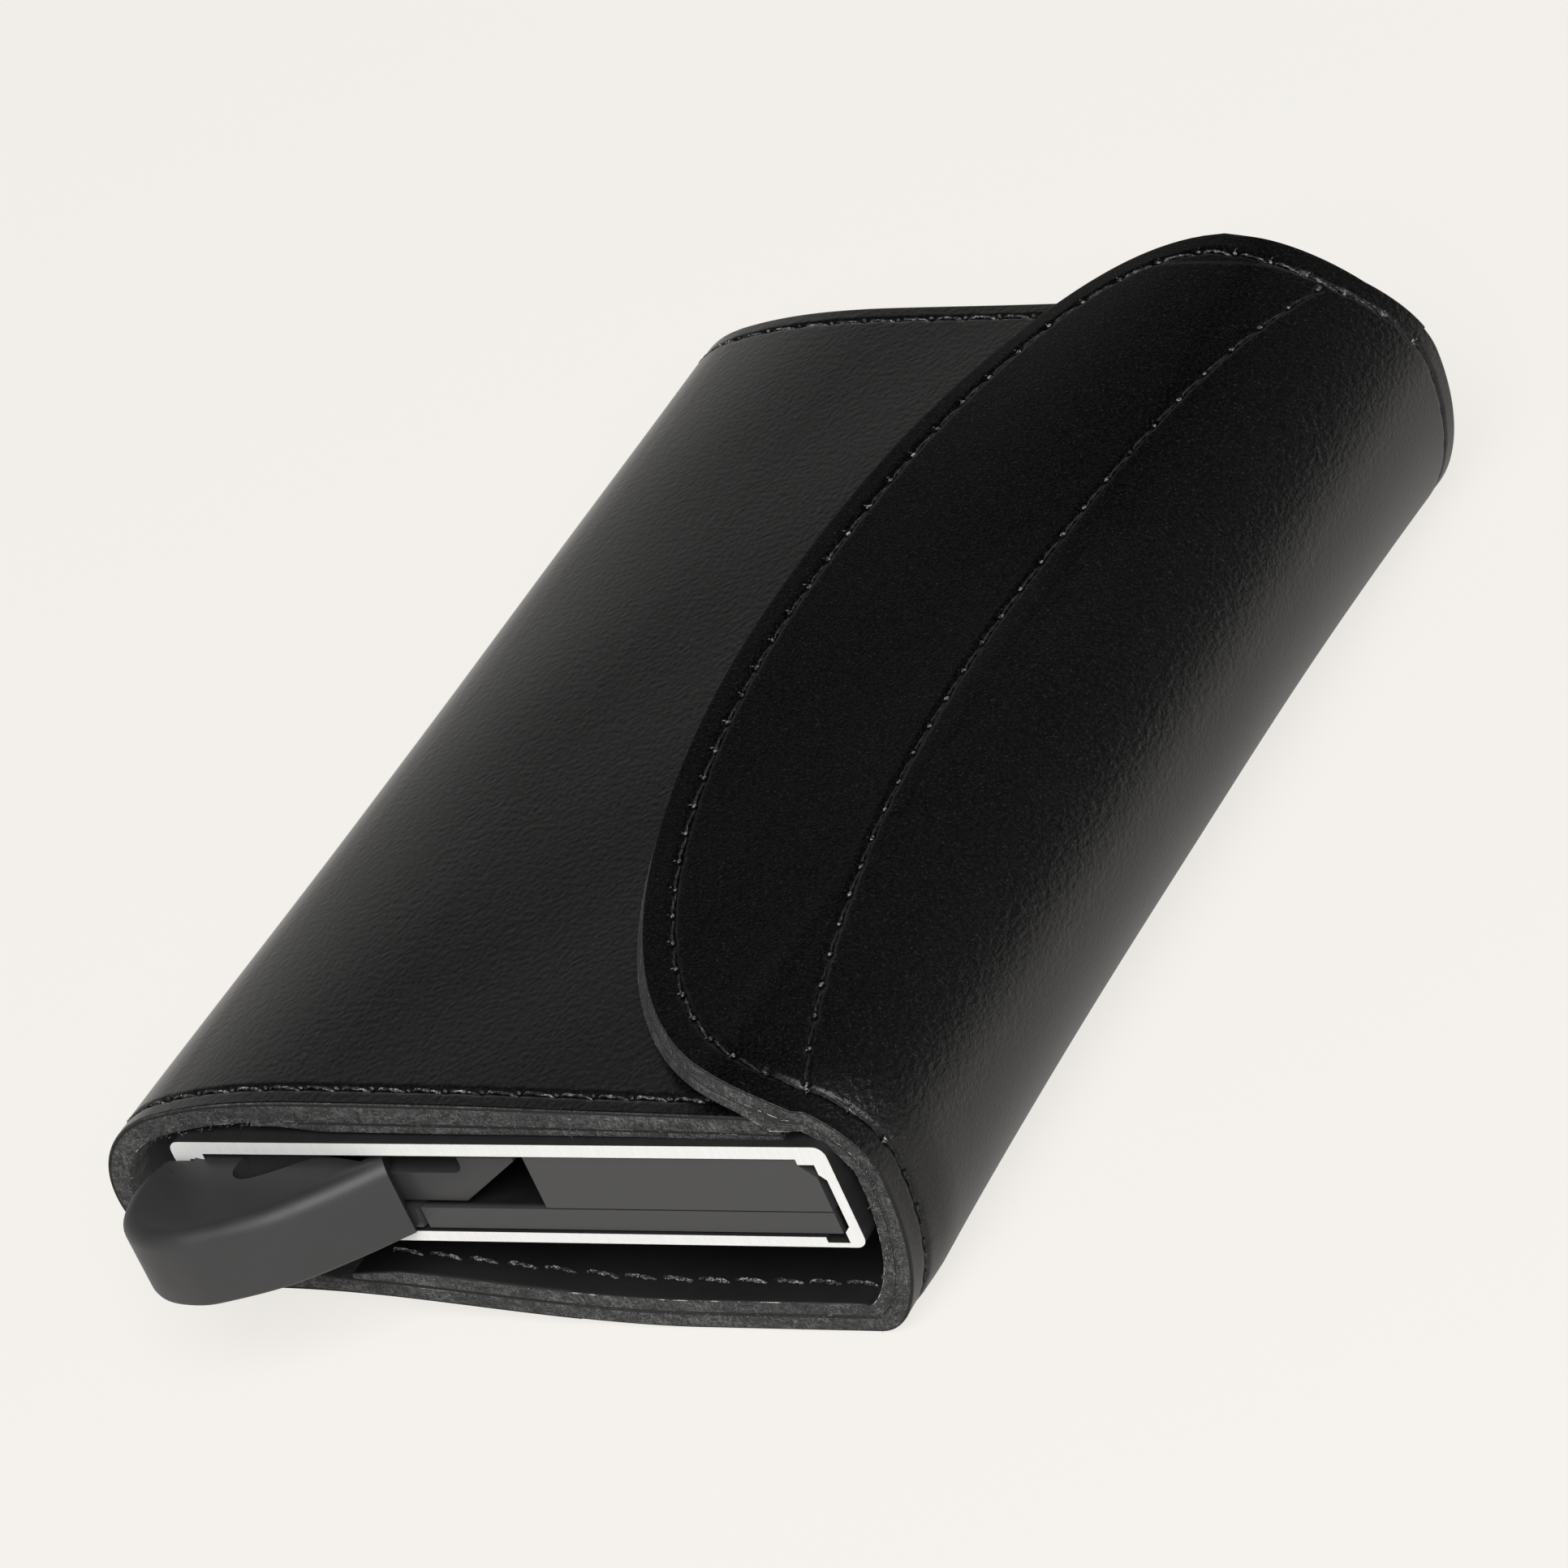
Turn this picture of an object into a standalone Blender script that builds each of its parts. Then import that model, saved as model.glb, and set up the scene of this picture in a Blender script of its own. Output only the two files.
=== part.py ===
"""A pop-up card wallet: a metal card case with an ejector lever, wrapped in stitched leather.

The wallet lies on its back: +X runs from the round fold to the spine, +Y from the lever
to the card mouth, and +Z from the back panel up to the flap. Sizes are in metres.
"""
import math

import bmesh
import bpy
from mathutils import Vector

MM = 0.001

# Card case: an extruded tube that is open at the card mouth
CASE_WIDTH = 58.0 * MM
CASE_HEIGHT = 9.2 * MM
CASE_LENGTH = 98.0 * MM
CASE_WALL_TOP = 1.1 * MM
CASE_WALL_BOTTOM = 0.9 * MM
CASE_WALL_SIDE = 0.85 * MM
CASE_CORNER = 0.9 * MM
CASE_PROUD = 0.8 * MM
RIB_WIDTH = 1.9 * MM
RIB_HEIGHT = 0.5 * MM
GROOVE_WIDTH = 1.9 * MM
GROOVE_DEPTH = 0.5 * MM

# End cap: two moulded halves that close the lever end of the case
CAP_DEPTH = 9.6 * MM
CAP_RECESS = 0.2 * MM
CAP_CLEARANCE = 0.2 * MM
CAP_LOWER_HEIGHT = 1.9 * MM
CAP_SEAM = 0.12 * MM
SLOT_LENGTH = 31.5 * MM

# Ejector lever: a thumb pad outside the case and a ramped arm under the cards
PIVOT_FROM_SIDE = 7.5 * MM
PIVOT_FROM_END = 5.0 * MM
PIN_RADIUS = 1.5 * MM
PIN_CLEARANCE = 0.1 * MM
BORE_CLEARANCE = 0.25 * MM
LEVER_CLEARANCE = 0.35 * MM
PAD_REACH = 8.6 * MM
PAD_OVERHANG = 0.4 * MM
PAD_SWING = 13.2 * MM
PAD_CORNER = 2.4 * MM
PAD_FLAT = 5.2 * MM
PAD_CROWN = 1.6 * MM
ARM_WIDTH = 8.6 * MM
ARM_DROP = 0.2 * MM
ARM_RAMP_LENGTH = 5.8 * MM
ARM_TIP_HEIGHT = 0.4 * MM
ARM_HEAD_LENGTH = 5.0 * MM
ARM_NOTCH_DEPTH = 1.5 * MM
ARM_NOTCH_CORNER = 0.8 * MM
ARM_END_GAP = 1.3 * MM
HOLLOW_LENGTH = 8.2 * MM
HOLLOW_WIDTH = 2.8 * MM
HOLLOW_INSIDE = 0.8 * MM
HOLLOW_DEPTH = 4.2 * MM

# Leather: an outer skin and a lining, stitched round the case as one wrap
WRAP_LENGTH = 98.2 * MM
LEATHER = 1.2 * MM
LINING = 1.15 * MM
FLAP_LINING = 0.75 * MM
GLUE_LINE = 0.15 * MM
POCKET_GAP = 6.3 * MM
TAPE_THICKNESS = 0.3 * MM
TAPE_MARGIN = 5.0 * MM
TAPE_CLEARANCE = 0.1 * MM
FRONT_EDGE_INSET = 6.5 * MM
FOLD_OVERLAP = 1.5 * MM
FOLD_SPLIT = math.radians(250.0)
SPLIT_GAP = 0.5 * MM

# Spine: two elliptical runs that meet at the widest point, wider spread at both ends
SPINE_BULGE = 4.9 * MM
SPINE_FLARE = 0.4 * MM
SPINE_WIDEST = 14.3 * MM
SPINE_LOWER_RUN = 17.9 * MM
SPINE_LOWER_RUN_AT_END = 9.8 * MM
SPINE_UPPER_RUN = 13.9 * MM
SPINE_SPLIT = math.radians(-17.5)
FLAP_SPLIT = math.radians(45.0)
HINGE_OUTSET = 0.4 * MM

# Flap: its free edge is two curves that meet at the tip
FLAP_CLEARANCE = 0.5 * MM
FLAP_REACH = 32.4 * MM
FLAP_TIP_Y = 14.0 * MM
FLAP_NEAR_START = (-1.6 * MM, -0.4 * MM)
FLAP_NEAR_HANDLE = (-18.0 * MM, 2.6 * MM)
FLAP_TIP_HANDLE_NEAR = 36.0 * MM
FLAP_TIP_HANDLE_FAR = 22.0 * MM
FLAP_FAR_HANDLE = (-22.0 * MM, 0.9 * MM)
FLAP_FAR_END = (-11.5 * MM, 1.9 * MM)
FLAP_LIFT = 2.3 * MM
FLAP_LIFT_CENTRE = 12.5 * MM
FLAP_LIFT_SPREAD = 13.6 * MM
FLAP_LIFT_RUN = 40.0 * MM

# Stitching: one continuous thread for each seam
THREAD_RADIUS = 0.25 * MM
THREAD_GAP = 0.06 * MM
SEAM_INSET = 2.5 * MM
FLAP_SEAM_INSET = 3.2 * MM
INNER_SEAM_REACH = 9.9 * MM
INNER_SEAM_END = 0.6 * MM

# Levels and places that follow from the sizes above
WRAP_WALL = LEATHER + GLUE_LINE + LINING
FLAP_WALL = LEATHER + GLUE_LINE + FLAP_LINING
HALF_WIDTH = CASE_WIDTH / 2
HALF_WRAP = WRAP_LENGTH / 2
CASE_BOTTOM = WRAP_WALL + POCKET_GAP
CASE_TOP = CASE_BOTTOM + CASE_HEIGHT
CASE_NEAR = -HALF_WRAP - CASE_PROUD
CAVITY_FLOOR = CASE_BOTTOM + CASE_WALL_BOTTOM
CAVITY_ROOF = CASE_TOP - CASE_WALL_TOP
CAVITY_SIDE = HALF_WIDTH - CASE_WALL_SIDE
FRONT_LEVEL = CASE_TOP + TAPE_THICKNESS + 2 * TAPE_CLEARANCE + WRAP_WALL
FLAP_LEVEL = FRONT_LEVEL + FLAP_CLEARANCE + FLAP_WALL
FOLD_RADIUS = FRONT_LEVEL / 2
FOLD_X = -HALF_WIDTH + FOLD_OVERLAP
SLOT_END = -HALF_WIDTH + SLOT_LENGTH
CAP_NEAR = CASE_NEAR + CAP_RECESS
CAP_FAR = CASE_NEAR + CAP_DEPTH
CAP_FLOOR = CAVITY_FLOOR + CAP_CLEARANCE
CAP_SPLIT = CAP_FLOOR + CAP_LOWER_HEIGHT
CAP_ROOF = CAVITY_ROOF - CAP_CLEARANCE
CAP_SIDE = CAVITY_SIDE - RIB_HEIGHT - 2 * CAP_CLEARANCE
PIVOT_X = -HALF_WIDTH + PIVOT_FROM_SIDE
PIVOT_Y = CASE_NEAR + PIVOT_FROM_END

# Joint axes, each as a point on the axis
LEVER_PIVOT = Vector((PIVOT_X, PIVOT_Y, CASE_BOTTOM))
FOLD_HINGE = Vector((FOLD_X + FOLD_RADIUS * math.cos(FOLD_SPLIT), 0.0, 0.3 * MM))


def clear_scene():
    for old in list(bpy.data.objects):
        bpy.data.objects.remove(old, do_unlink=True)


def make_material(name, colour, roughness, metallic=0.0):
    made = bpy.data.materials.new(name)
    made.use_nodes = True
    shader = made.node_tree.nodes["Principled BSDF"]
    shader.inputs["Base Color"].default_value = (*colour, 1.0)
    shader.inputs["Roughness"].default_value = roughness
    shader.inputs["Metallic"].default_value = metallic
    made.diffuse_color = (*colour, 1.0)
    return made


def make_pivot(name, place, parent=None):
    """An empty on a joint's axis, which carries the pieces that the joint moves."""
    pivot = bpy.data.objects.new(name, None)
    bpy.context.collection.objects.link(pivot)
    pivot.location = place - (parent.location if parent else Vector())
    pivot.parent = parent
    pivot.empty_display_size = 5 * MM
    return pivot


def pivot_place(pivot):
    place = Vector()
    while pivot:
        place += pivot.location
        pivot = pivot.parent
    return place


def add_object(name, data, surface, pivot=None):
    """Links a mesh or curve that was drawn in world coordinates, and hangs it on its pivot."""
    made = bpy.data.objects.new(name, data)
    bpy.context.collection.objects.link(made)
    data.materials.append(surface)
    if pivot:
        made.parent = pivot
        made.location = -pivot_place(pivot)
    return made


def mesh_from(name, bm):
    bmesh.ops.recalc_face_normals(bm, faces=bm.faces[:])
    mesh = bpy.data.meshes.new(name)
    bm.to_mesh(mesh)
    bm.free()
    return mesh


def rounded(corners, steps=5):
    """Replaces each corner (x, y, radius) of a closed outline with an arc."""
    outline = []
    for index, (x, y, radius) in enumerate(corners):
        here = Vector((x, y))
        if radius == 0.0:
            outline.append(here)
            continue
        before = (Vector(corners[index - 1][:2]) - here).normalized()
        after = (Vector(corners[(index + 1) % len(corners)][:2]) - here).normalized()
        half_angle = before.angle(after) / 2
        centre = here + (before + after).normalized() * radius / math.sin(half_angle)
        first = here + before * radius / math.tan(half_angle) - centre
        last = here + after * radius / math.tan(half_angle) - centre
        sweep = first.angle_signed(last)
        for step in range(steps + 1):
            turn = -sweep * step / steps
            cosine, sine = math.cos(turn), math.sin(turn)
            spoke = Vector((first.x * cosine - first.y * sine, first.x * sine + first.y * cosine))
            outline.append(centre + spoke)
    return outline


def prism_mesh(name, outline, low, high, axis="Z"):
    """Extrudes an outline along Z, or along Y for an outline given as (x, z)."""
    bm = bmesh.new()
    if axis == "Z":
        base = [bm.verts.new((x, y, low)) for x, y in outline]
        travel = Vector((0.0, 0.0, high - low))
    else:
        base = [bm.verts.new((x, low, z)) for x, z in outline]
        travel = Vector((0.0, high - low, 0.0))
    face = bm.faces.new(base)
    grown = bmesh.ops.extrude_face_region(bm, geom=[face])
    moved = [item for item in grown["geom"] if isinstance(item, bmesh.types.BMVert)]
    bmesh.ops.translate(bm, verts=moved, vec=travel)
    return mesh_from(name, bm)


def circle(x, y, radius, count=24):
    turns = [2 * math.pi * step / count for step in range(count)]
    return [(x + radius * math.cos(turn), y + radius * math.sin(turn)) for turn in turns]


def combine(target, tool_mesh, operation, name):
    """Joins a shape to an object, or cuts it out, with a Boolean modifier."""
    tool = bpy.data.objects.new(name, tool_mesh)
    bpy.context.collection.objects.link(tool)
    tool.hide_render = True
    tool.display_type = "WIRE"
    tool.parent = target.parent
    tool.location = target.location
    boolean = target.modifiers.new(name, "BOOLEAN")
    boolean.operation = operation
    boolean.solver = "EXACT"
    boolean.object = tool


def soften_edges(target, width, segments=2):
    bevel = target.modifiers.new("soft_edges", "BEVEL")
    bevel.width = width
    bevel.segments = segments
    bevel.limit_method = "ANGLE"
    bevel.angle_limit = math.radians(40.0)
    bevel.use_clamp_overlap = True


def mirrored(right_side):
    """Closes a right-hand outline with its mirror image across X."""
    return right_side + [(-x, z) for x, z in reversed(right_side)]


# Card case and end cap

def build_case(surface, pivot):
    radius = CASE_CORNER
    outer = rounded([
        (HALF_WIDTH, CASE_BOTTOM, radius),
        (HALF_WIDTH, CASE_TOP, radius),
        (-HALF_WIDTH, CASE_TOP, radius),
        (-HALF_WIDTH, CASE_BOTTOM, radius),
    ])
    far = CASE_NEAR + CASE_LENGTH
    case = add_object("card_case", prism_mesh("card_case", outer, CASE_NEAR, far, "Y"), surface, pivot)
    groove_out = CAVITY_SIDE - RIB_HEIGHT
    rib_in = CAVITY_SIDE - RIB_WIDTH
    cavity = mirrored([
        (groove_out - GROOVE_WIDTH, CAVITY_FLOOR),
        (groove_out - GROOVE_WIDTH, CAVITY_FLOOR - GROOVE_DEPTH),
        (groove_out, CAVITY_FLOOR - GROOVE_DEPTH),
        (groove_out, CAVITY_FLOOR + RIB_HEIGHT),
        (CAVITY_SIDE, CAVITY_FLOOR + 2 * RIB_HEIGHT),
        (CAVITY_SIDE, CAVITY_ROOF - RIB_WIDTH),
        (groove_out, CAVITY_ROOF - RIB_WIDTH + RIB_HEIGHT),
        (groove_out, CAVITY_ROOF - RIB_HEIGHT),
        (rib_in, CAVITY_ROOF - RIB_HEIGHT),
        (rib_in, CAVITY_ROOF),
    ])
    past = 2 * MM
    combine(case, prism_mesh("cavity", cavity, CASE_NEAR - past, far + past, "Y"), "DIFFERENCE", "cavity")
    hole = circle(PIVOT_X, PIVOT_Y, PIN_RADIUS + PIN_CLEARANCE)
    combine(case, prism_mesh("pin_hole", hole, CASE_BOTTOM - past, CASE_TOP + past), "DIFFERENCE", "pin_hole")


def build_end_cap(surface_upper, surface_lower, pivot):
    rib_in = CAVITY_SIDE - RIB_WIDTH - CAP_CLEARANCE
    upper = [
        (SLOT_END, CAP_SPLIT + CAP_SEAM),
        (CAP_SIDE, CAP_SPLIT + CAP_SEAM),
        (CAP_SIDE, CAVITY_ROOF - RIB_WIDTH),
        (rib_in, CAP_ROOF - RIB_HEIGHT),
        (rib_in, CAP_ROOF),
        (SLOT_END, CAP_ROOF),
    ]
    upper_mesh = prism_mesh("end_cap_upper", upper, CAP_NEAR, CAP_FAR, "Y")
    add_object("end_cap_upper", upper_mesh, surface_upper, pivot)

    reach = PAD_SWING + LEVER_CLEARANCE
    low_turn = math.asin((CAP_NEAR - PIVOT_Y) / reach)
    high_turn = math.asin((CAP_FAR - PIVOT_Y) / reach)
    lower = [(CAP_SIDE, CAP_NEAR), (CAP_SIDE, CAP_FAR)]
    for step in range(9):
        turn = high_turn + (low_turn - high_turn) * step / 8
        lower.append((PIVOT_X + reach * math.cos(turn), PIVOT_Y + reach * math.sin(turn)))
    lower_mesh = prism_mesh("end_cap_lower", lower, CAP_FLOOR, CAP_SPLIT)
    add_object("end_cap_lower", lower_mesh, surface_lower, pivot)


def build_tape(surface, pivot):
    right = HALF_WIDTH - FRONT_EDGE_INSET - TAPE_MARGIN
    left = -HALF_WIDTH + TAPE_MARGIN
    near = -HALF_WRAP + TAPE_MARGIN
    outline = [(left, near), (right, near), (right, -near), (left, -near)]
    low = CASE_TOP + TAPE_CLEARANCE
    mesh = prism_mesh("mounting_tape", outline, low, low + TAPE_THICKNESS)
    add_object("mounting_tape", mesh, surface, pivot)


# Ejector lever and its pin

def crown_pad(mesh, top, shoulder):
    """Rounds the top edge of the thumb pad where it stands outside the case."""
    bm = bmesh.new()
    bm.from_mesh(mesh)
    edges = []
    for edge in bm.edges:
        level = all(abs(vert.co.z - top) < 0.01 * MM for vert in edge.verts)
        if level and min(vert.co.y for vert in edge.verts) < shoulder - 0.05 * MM:
            edges.append(edge)
    outside = [edge for edge in edges if max(vert.co.y for vert in edge.verts) < shoulder + 0.05 * MM]
    bmesh.ops.bevel(bm, geom=outside, offset=PAD_CROWN, segments=4, profile=0.5, affect="EDGES")
    bm.to_mesh(mesh)
    bm.free()


def build_lever(surface, pivot):
    low = CAVITY_FLOOR + LEVER_CLEARANCE
    high = CAVITY_ROOF - LEVER_CLEARANCE
    inner_left = -CAVITY_SIDE + RIB_WIDTH + LEVER_CLEARANCE
    outer_left = -HALF_WIDTH - PAD_OVERHANG
    shoulder = CASE_NEAR - LEVER_CLEARANCE
    tip = CASE_NEAR - PAD_REACH
    arm_far = PIVOT_Y + ARM_WIDTH / 2
    end_low = math.asin((CASE_NEAR - PIVOT_FROM_END * 0.15 - PIVOT_Y) / PAD_SWING)
    end_high = math.asin((arm_far - PIVOT_Y) / PAD_SWING)

    pad = rounded([
        (inner_left, arm_far, 3.0 * MM),
        (inner_left, shoulder, 0.0),
        (outer_left, shoulder, 0.0),
        (outer_left, tip, PAD_CORNER),
        (outer_left + PAD_CORNER + PAD_FLAT, tip, 2.0 * MM),
        (PIVOT_X + PAD_SWING * math.cos(end_low), PIVOT_Y + PAD_SWING * math.sin(end_low), 0.0),
    ])
    for step in range(1, 7):
        turn = end_low + (end_high - end_low) * step / 6
        pad.append(Vector((PIVOT_X + PAD_SWING * math.cos(turn), PIVOT_Y + PAD_SWING * math.sin(turn))))
    pad_mesh = prism_mesh("ejector_lever", pad, low, high)
    crown_pad(pad_mesh, high, shoulder)
    lever = add_object("ejector_lever", pad_mesh, surface, pivot)

    arm_near = CASE_NEAR + CAP_RECESS + LEVER_CLEARANCE
    arm_left = PIVOT_X + PAD_SWING / 2
    arm_end = SLOT_END - ARM_END_GAP
    arm_low = CAP_SPLIT + LEVER_CLEARANCE
    arm_high = high - ARM_DROP
    notch_end = arm_end - ARM_HEAD_LENGTH
    arm = rounded([
        (arm_left, arm_low, 0.0),
        (arm_end - ARM_RAMP_LENGTH, arm_low, 0.6 * MM),
        (arm_end, arm_high - ARM_TIP_HEIGHT, 0.0),
        (arm_end, arm_high, 0.0),
        (notch_end, arm_high, 0.0),
        (notch_end, arm_high - ARM_NOTCH_DEPTH, ARM_NOTCH_CORNER),
        (arm_left, arm_high - ARM_NOTCH_DEPTH, 0.0),
    ])
    combine(lever, prism_mesh("arm", arm, arm_near, arm_far, "Y"), "UNION", "arm")

    past = 2 * MM
    bore = circle(PIVOT_X, PIVOT_Y, PIN_RADIUS + BORE_CLEARANCE)
    combine(lever, prism_mesh("bore", bore, low - past, high + past), "DIFFERENCE", "bore")
    hollow_left = PIVOT_X - 1.2 * MM
    hollow_near = CASE_NEAR - HOLLOW_WIDTH
    hollow_far = CASE_NEAR + HOLLOW_INSIDE
    hollow = rounded([
        (hollow_left, hollow_near, 0.8 * MM),
        (hollow_left + HOLLOW_LENGTH, hollow_far - 0.3 * MM, 0.0),
        (hollow_left + HOLLOW_LENGTH, hollow_far, 0.0),
        (hollow_left, hollow_far, 0.0),
    ])
    pocket = prism_mesh("hollow", hollow, high - HOLLOW_DEPTH, high + past)
    combine(lever, pocket, "DIFFERENCE", "hollow")
    return lever


def build_pin(surface, pivot):
    outline = circle(PIVOT_X, PIVOT_Y, PIN_RADIUS)
    low = CASE_BOTTOM + PIN_CLEARANCE
    mesh = prism_mesh("pivot_pin", outline, low, CASE_TOP - PIN_CLEARANCE)
    add_object("pivot_pin", mesh, surface, pivot)


# Leather wrap: sections across X and Z, lofted along Y

def end_share(y):
    """0 at mid-length and 1 at both ends of the wrap."""
    return min(1.0, abs(y) / HALF_WRAP) ** 2.5


def spine_right(y):
    return HALF_WIDTH + SPINE_BULGE + SPINE_FLARE * end_share(y)


def lower_run(y):
    return SPINE_LOWER_RUN + (SPINE_LOWER_RUN_AT_END - SPINE_LOWER_RUN) * end_share(y)


def lower_spine(y, turn):
    run = lower_run(y)
    x = spine_right(y) - run + run * math.cos(turn)
    return x, SPINE_WIDEST * (1.0 + math.sin(turn))


def upper_spine(y, turn):
    x = spine_right(y) - SPINE_UPPER_RUN + SPINE_UPPER_RUN * math.cos(turn)
    return x, SPINE_WIDEST + (FLAP_LEVEL - SPINE_WIDEST) * math.sin(turn)


def fold_point(turn):
    return FOLD_X + FOLD_RADIUS * math.cos(turn), FOLD_RADIUS + FOLD_RADIUS * math.sin(turn)


def spread(first, last, count):
    return [first + (last - first) * step / (count - 1) for step in range(count)]


def front_section(y):
    """From the front panel's free edge, over the front and round the fold."""
    flat = [(x, FRONT_LEVEL) for x in spread(HALF_WIDTH - FRONT_EDGE_INSET, FOLD_X, 5)]
    stop = FOLD_SPLIT - SPLIT_GAP / FOLD_RADIUS / 2
    return flat[:-1] + [fold_point(turn) for turn in spread(math.pi / 2, stop, 21)]


def back_section(y):
    """From the fold, along the back and up to the widest part of the spine."""
    start = FOLD_SPLIT + SPLIT_GAP / FOLD_RADIUS / 2
    fold = [fold_point(turn) for turn in spread(start, 1.5 * math.pi, 5)]
    stop = SPINE_SPLIT - SPLIT_GAP / SPINE_WIDEST / 2
    rise = [lower_spine(y, turn) for turn in spread(-math.pi / 2, stop, 11)]
    flat = [(x, 0.0) for x in spread(FOLD_X, rise[0][0], 4)]
    return fold + flat[1:-1] + rise


def spine_section(y):
    """From the widest part of the spine to the flap's crease."""
    start = SPINE_SPLIT + SPLIT_GAP / SPINE_WIDEST / 2
    stop = FLAP_SPLIT - SPLIT_GAP / SPINE_UPPER_RUN / 2
    lower = [lower_spine(y, turn) for turn in spread(start, 0.0, 5)]
    return lower + [upper_spine(y, turn) for turn in spread(0.0, stop, 8)][1:]


def inset_section(section, depth):
    """Moves a section inwards, which is always to the left of its direction of travel."""
    places = [Vector(point) for point in section]
    places.insert(0, 3 * places[0] - 3 * places[1] + places[2])
    places.append(3 * places[-1] - 3 * places[-2] + places[-3])
    moved = []
    for before, here, after in zip(places, places[1:], places[2:]):
        along = (after - before).normalized()
        moved.append((here.x - along.y * depth, here.y + along.x * depth))
    return moved


def sheet_object(name, rows, thickness, surface, pivot, inside):
    """A grid of points that Solidify thickens towards the inside of the wrap."""
    bm = bmesh.new()
    grid = [[bm.verts.new(point) for point in row] for row in rows]
    for row, after in zip(grid, grid[1:]):
        for index in range(len(row) - 1):
            bm.faces.new((row[index], after[index], after[index + 1], row[index + 1]))
    mesh = bpy.data.meshes.new(name)
    bm.to_mesh(mesh)
    bm.free()
    made = add_object(name, mesh, surface, pivot)
    solidify = made.modifiers.new("thickness", "SOLIDIFY")
    solidify.thickness = thickness
    solidify.offset = inside
    solidify.use_even_offset = True
    return made


STATIONS = [HALF_WRAP * share for share in (-1.0, -0.9, -0.75, -0.5, 0.0, 0.5, 0.75, 0.9, 1.0)]


def wrap_sheet(name, section, depth, thickness, surface, pivot):
    rows = []
    for y in STATIONS:
        points = inset_section(section(y), depth)
        rows.append([(x, y, z) for x, z in points])
    sheet_object(name, rows, thickness, surface, pivot, -1.0)


def build_wrap(name, section, skin, lining, pivot):
    wrap_sheet(f"{name}_cover", section, 0.0, LEATHER, skin, pivot)
    wrap_sheet(f"{name}_lining", section, LEATHER + GLUE_LINE, LINING, lining, pivot)


# Flap: a sheet between its crease and its curved free edge

def bezier(first, handle_1, handle_2, last, share):
    rest = 1.0 - share
    weights = (rest ** 3, 3 * rest ** 2 * share, 3 * rest * share ** 2, share ** 3)
    places = (first, handle_1, handle_2, last)
    return tuple(sum(w * place[axis] for w, place in zip(weights, places)) for axis in (0, 1))


def flap_edge(share):
    """A point (x, y) on the free edge: 0 at the lever end and 1 at the mouth end."""
    tip = (HALF_WIDTH - FLAP_REACH, FLAP_TIP_Y)
    if share < 0.6:
        start = (HALF_WIDTH + FLAP_NEAR_START[0], -HALF_WRAP + FLAP_NEAR_START[1])
        handle = (HALF_WIDTH + FLAP_NEAR_HANDLE[0], -HALF_WRAP + FLAP_NEAR_HANDLE[1])
        return bezier(start, handle, (tip[0] + 0.9 * MM, tip[1] - FLAP_TIP_HANDLE_NEAR), tip, share / 0.6)
    end = (HALF_WIDTH + FLAP_FAR_END[0], HALF_WRAP + FLAP_FAR_END[1])
    handle = (HALF_WIDTH + FLAP_FAR_HANDLE[0], HALF_WRAP + FLAP_FAR_HANDLE[1])
    return bezier(tip, (tip[0] - 0.6 * MM, tip[1] + FLAP_TIP_HANDLE_FAR), handle, end, (share - 0.6) / 0.4)


def smooth(share):
    share = min(1.0, max(0.0, share))
    return share * share * (3.0 - 2.0 * share)


def flap_height(x, y):
    """Height of the flap's outer face, which lifts a little towards the mouth end."""
    crest = spine_right(y) - SPINE_UPPER_RUN
    over = min(1.0, max(0.0, (x - crest) / SPINE_UPPER_RUN))
    height = SPINE_WIDEST + (FLAP_LEVEL - SPINE_WIDEST) * math.sqrt(1.0 - over * over)
    across = 1.0 - ((x - HALF_WIDTH + FLAP_LIFT_CENTRE) / FLAP_LIFT_SPREAD) ** 2
    along = smooth((y - HALF_WRAP + FLAP_LIFT_RUN) / FLAP_LIFT_RUN)
    return height + FLAP_LIFT * along * max(0.0, across) ** 2


def flap_point(x, y, depth):
    """A point at a depth under the flap's outer face, measured square to that face."""
    step = 0.2 * MM
    slope_x = (flap_height(x + step, y) - flap_height(x - step, y)) / (2 * step)
    slope_y = (flap_height(x, y + step) - flap_height(x, y - step)) / (2 * step)
    normal = Vector((-slope_x, -slope_y, 1.0)).normalized()
    return Vector((x, y, flap_height(x, y))) - normal * depth


def flap_rows(depth):
    start = FLAP_SPLIT + SPLIT_GAP / SPINE_UPPER_RUN / 2
    first, last = flap_edge(0.0)[1], flap_edge(1.0)[1]
    rows = []
    for share in spread(0.0, 1.0, 25):
        edge_x, edge_y = flap_edge(share)
        crease_y = -HALF_WRAP + WRAP_LENGTH * (edge_y - first) / (last - first)
        crease_x = upper_spine(crease_y, start)[0]
        row = []
        for part in spread(0.0, 1.0, 9):
            x = crease_x + (edge_x - crease_x) * part ** 1.4
            y = crease_y + (edge_y - crease_y) * part ** 1.4
            row.append(flap_point(x, y, depth))
        rows.append(row)
    return rows


def build_flap(skin, lining, pivot):
    sheet_object("flap_cover", flap_rows(0.0), LEATHER, skin, pivot, -1.0)
    sheet_object("flap_lining", flap_rows(LEATHER + GLUE_LINE), FLAP_LINING, lining, pivot, -1.0)


# Stitching

def build_thread(name, points, surface, pivot):
    """A round thread along a seam, drawn as a curve with filled ends."""
    data = bpy.data.curves.new(name, "CURVE")
    data.dimensions = "3D"
    data.bevel_depth = THREAD_RADIUS
    data.bevel_resolution = 1
    data.use_fill_caps = True
    line = data.splines.new("POLY")
    line.points.add(len(points) - 1)
    for place, point in zip(line.points, points):
        place.co = (*point, 1.0)
    add_object(name, data, surface, pivot)


def wrap_seam(section, y, depth):
    trimmed = section(y)[1:-1]
    return [(x, y, z) for x, z in inset_section(trimmed, depth)]


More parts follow.
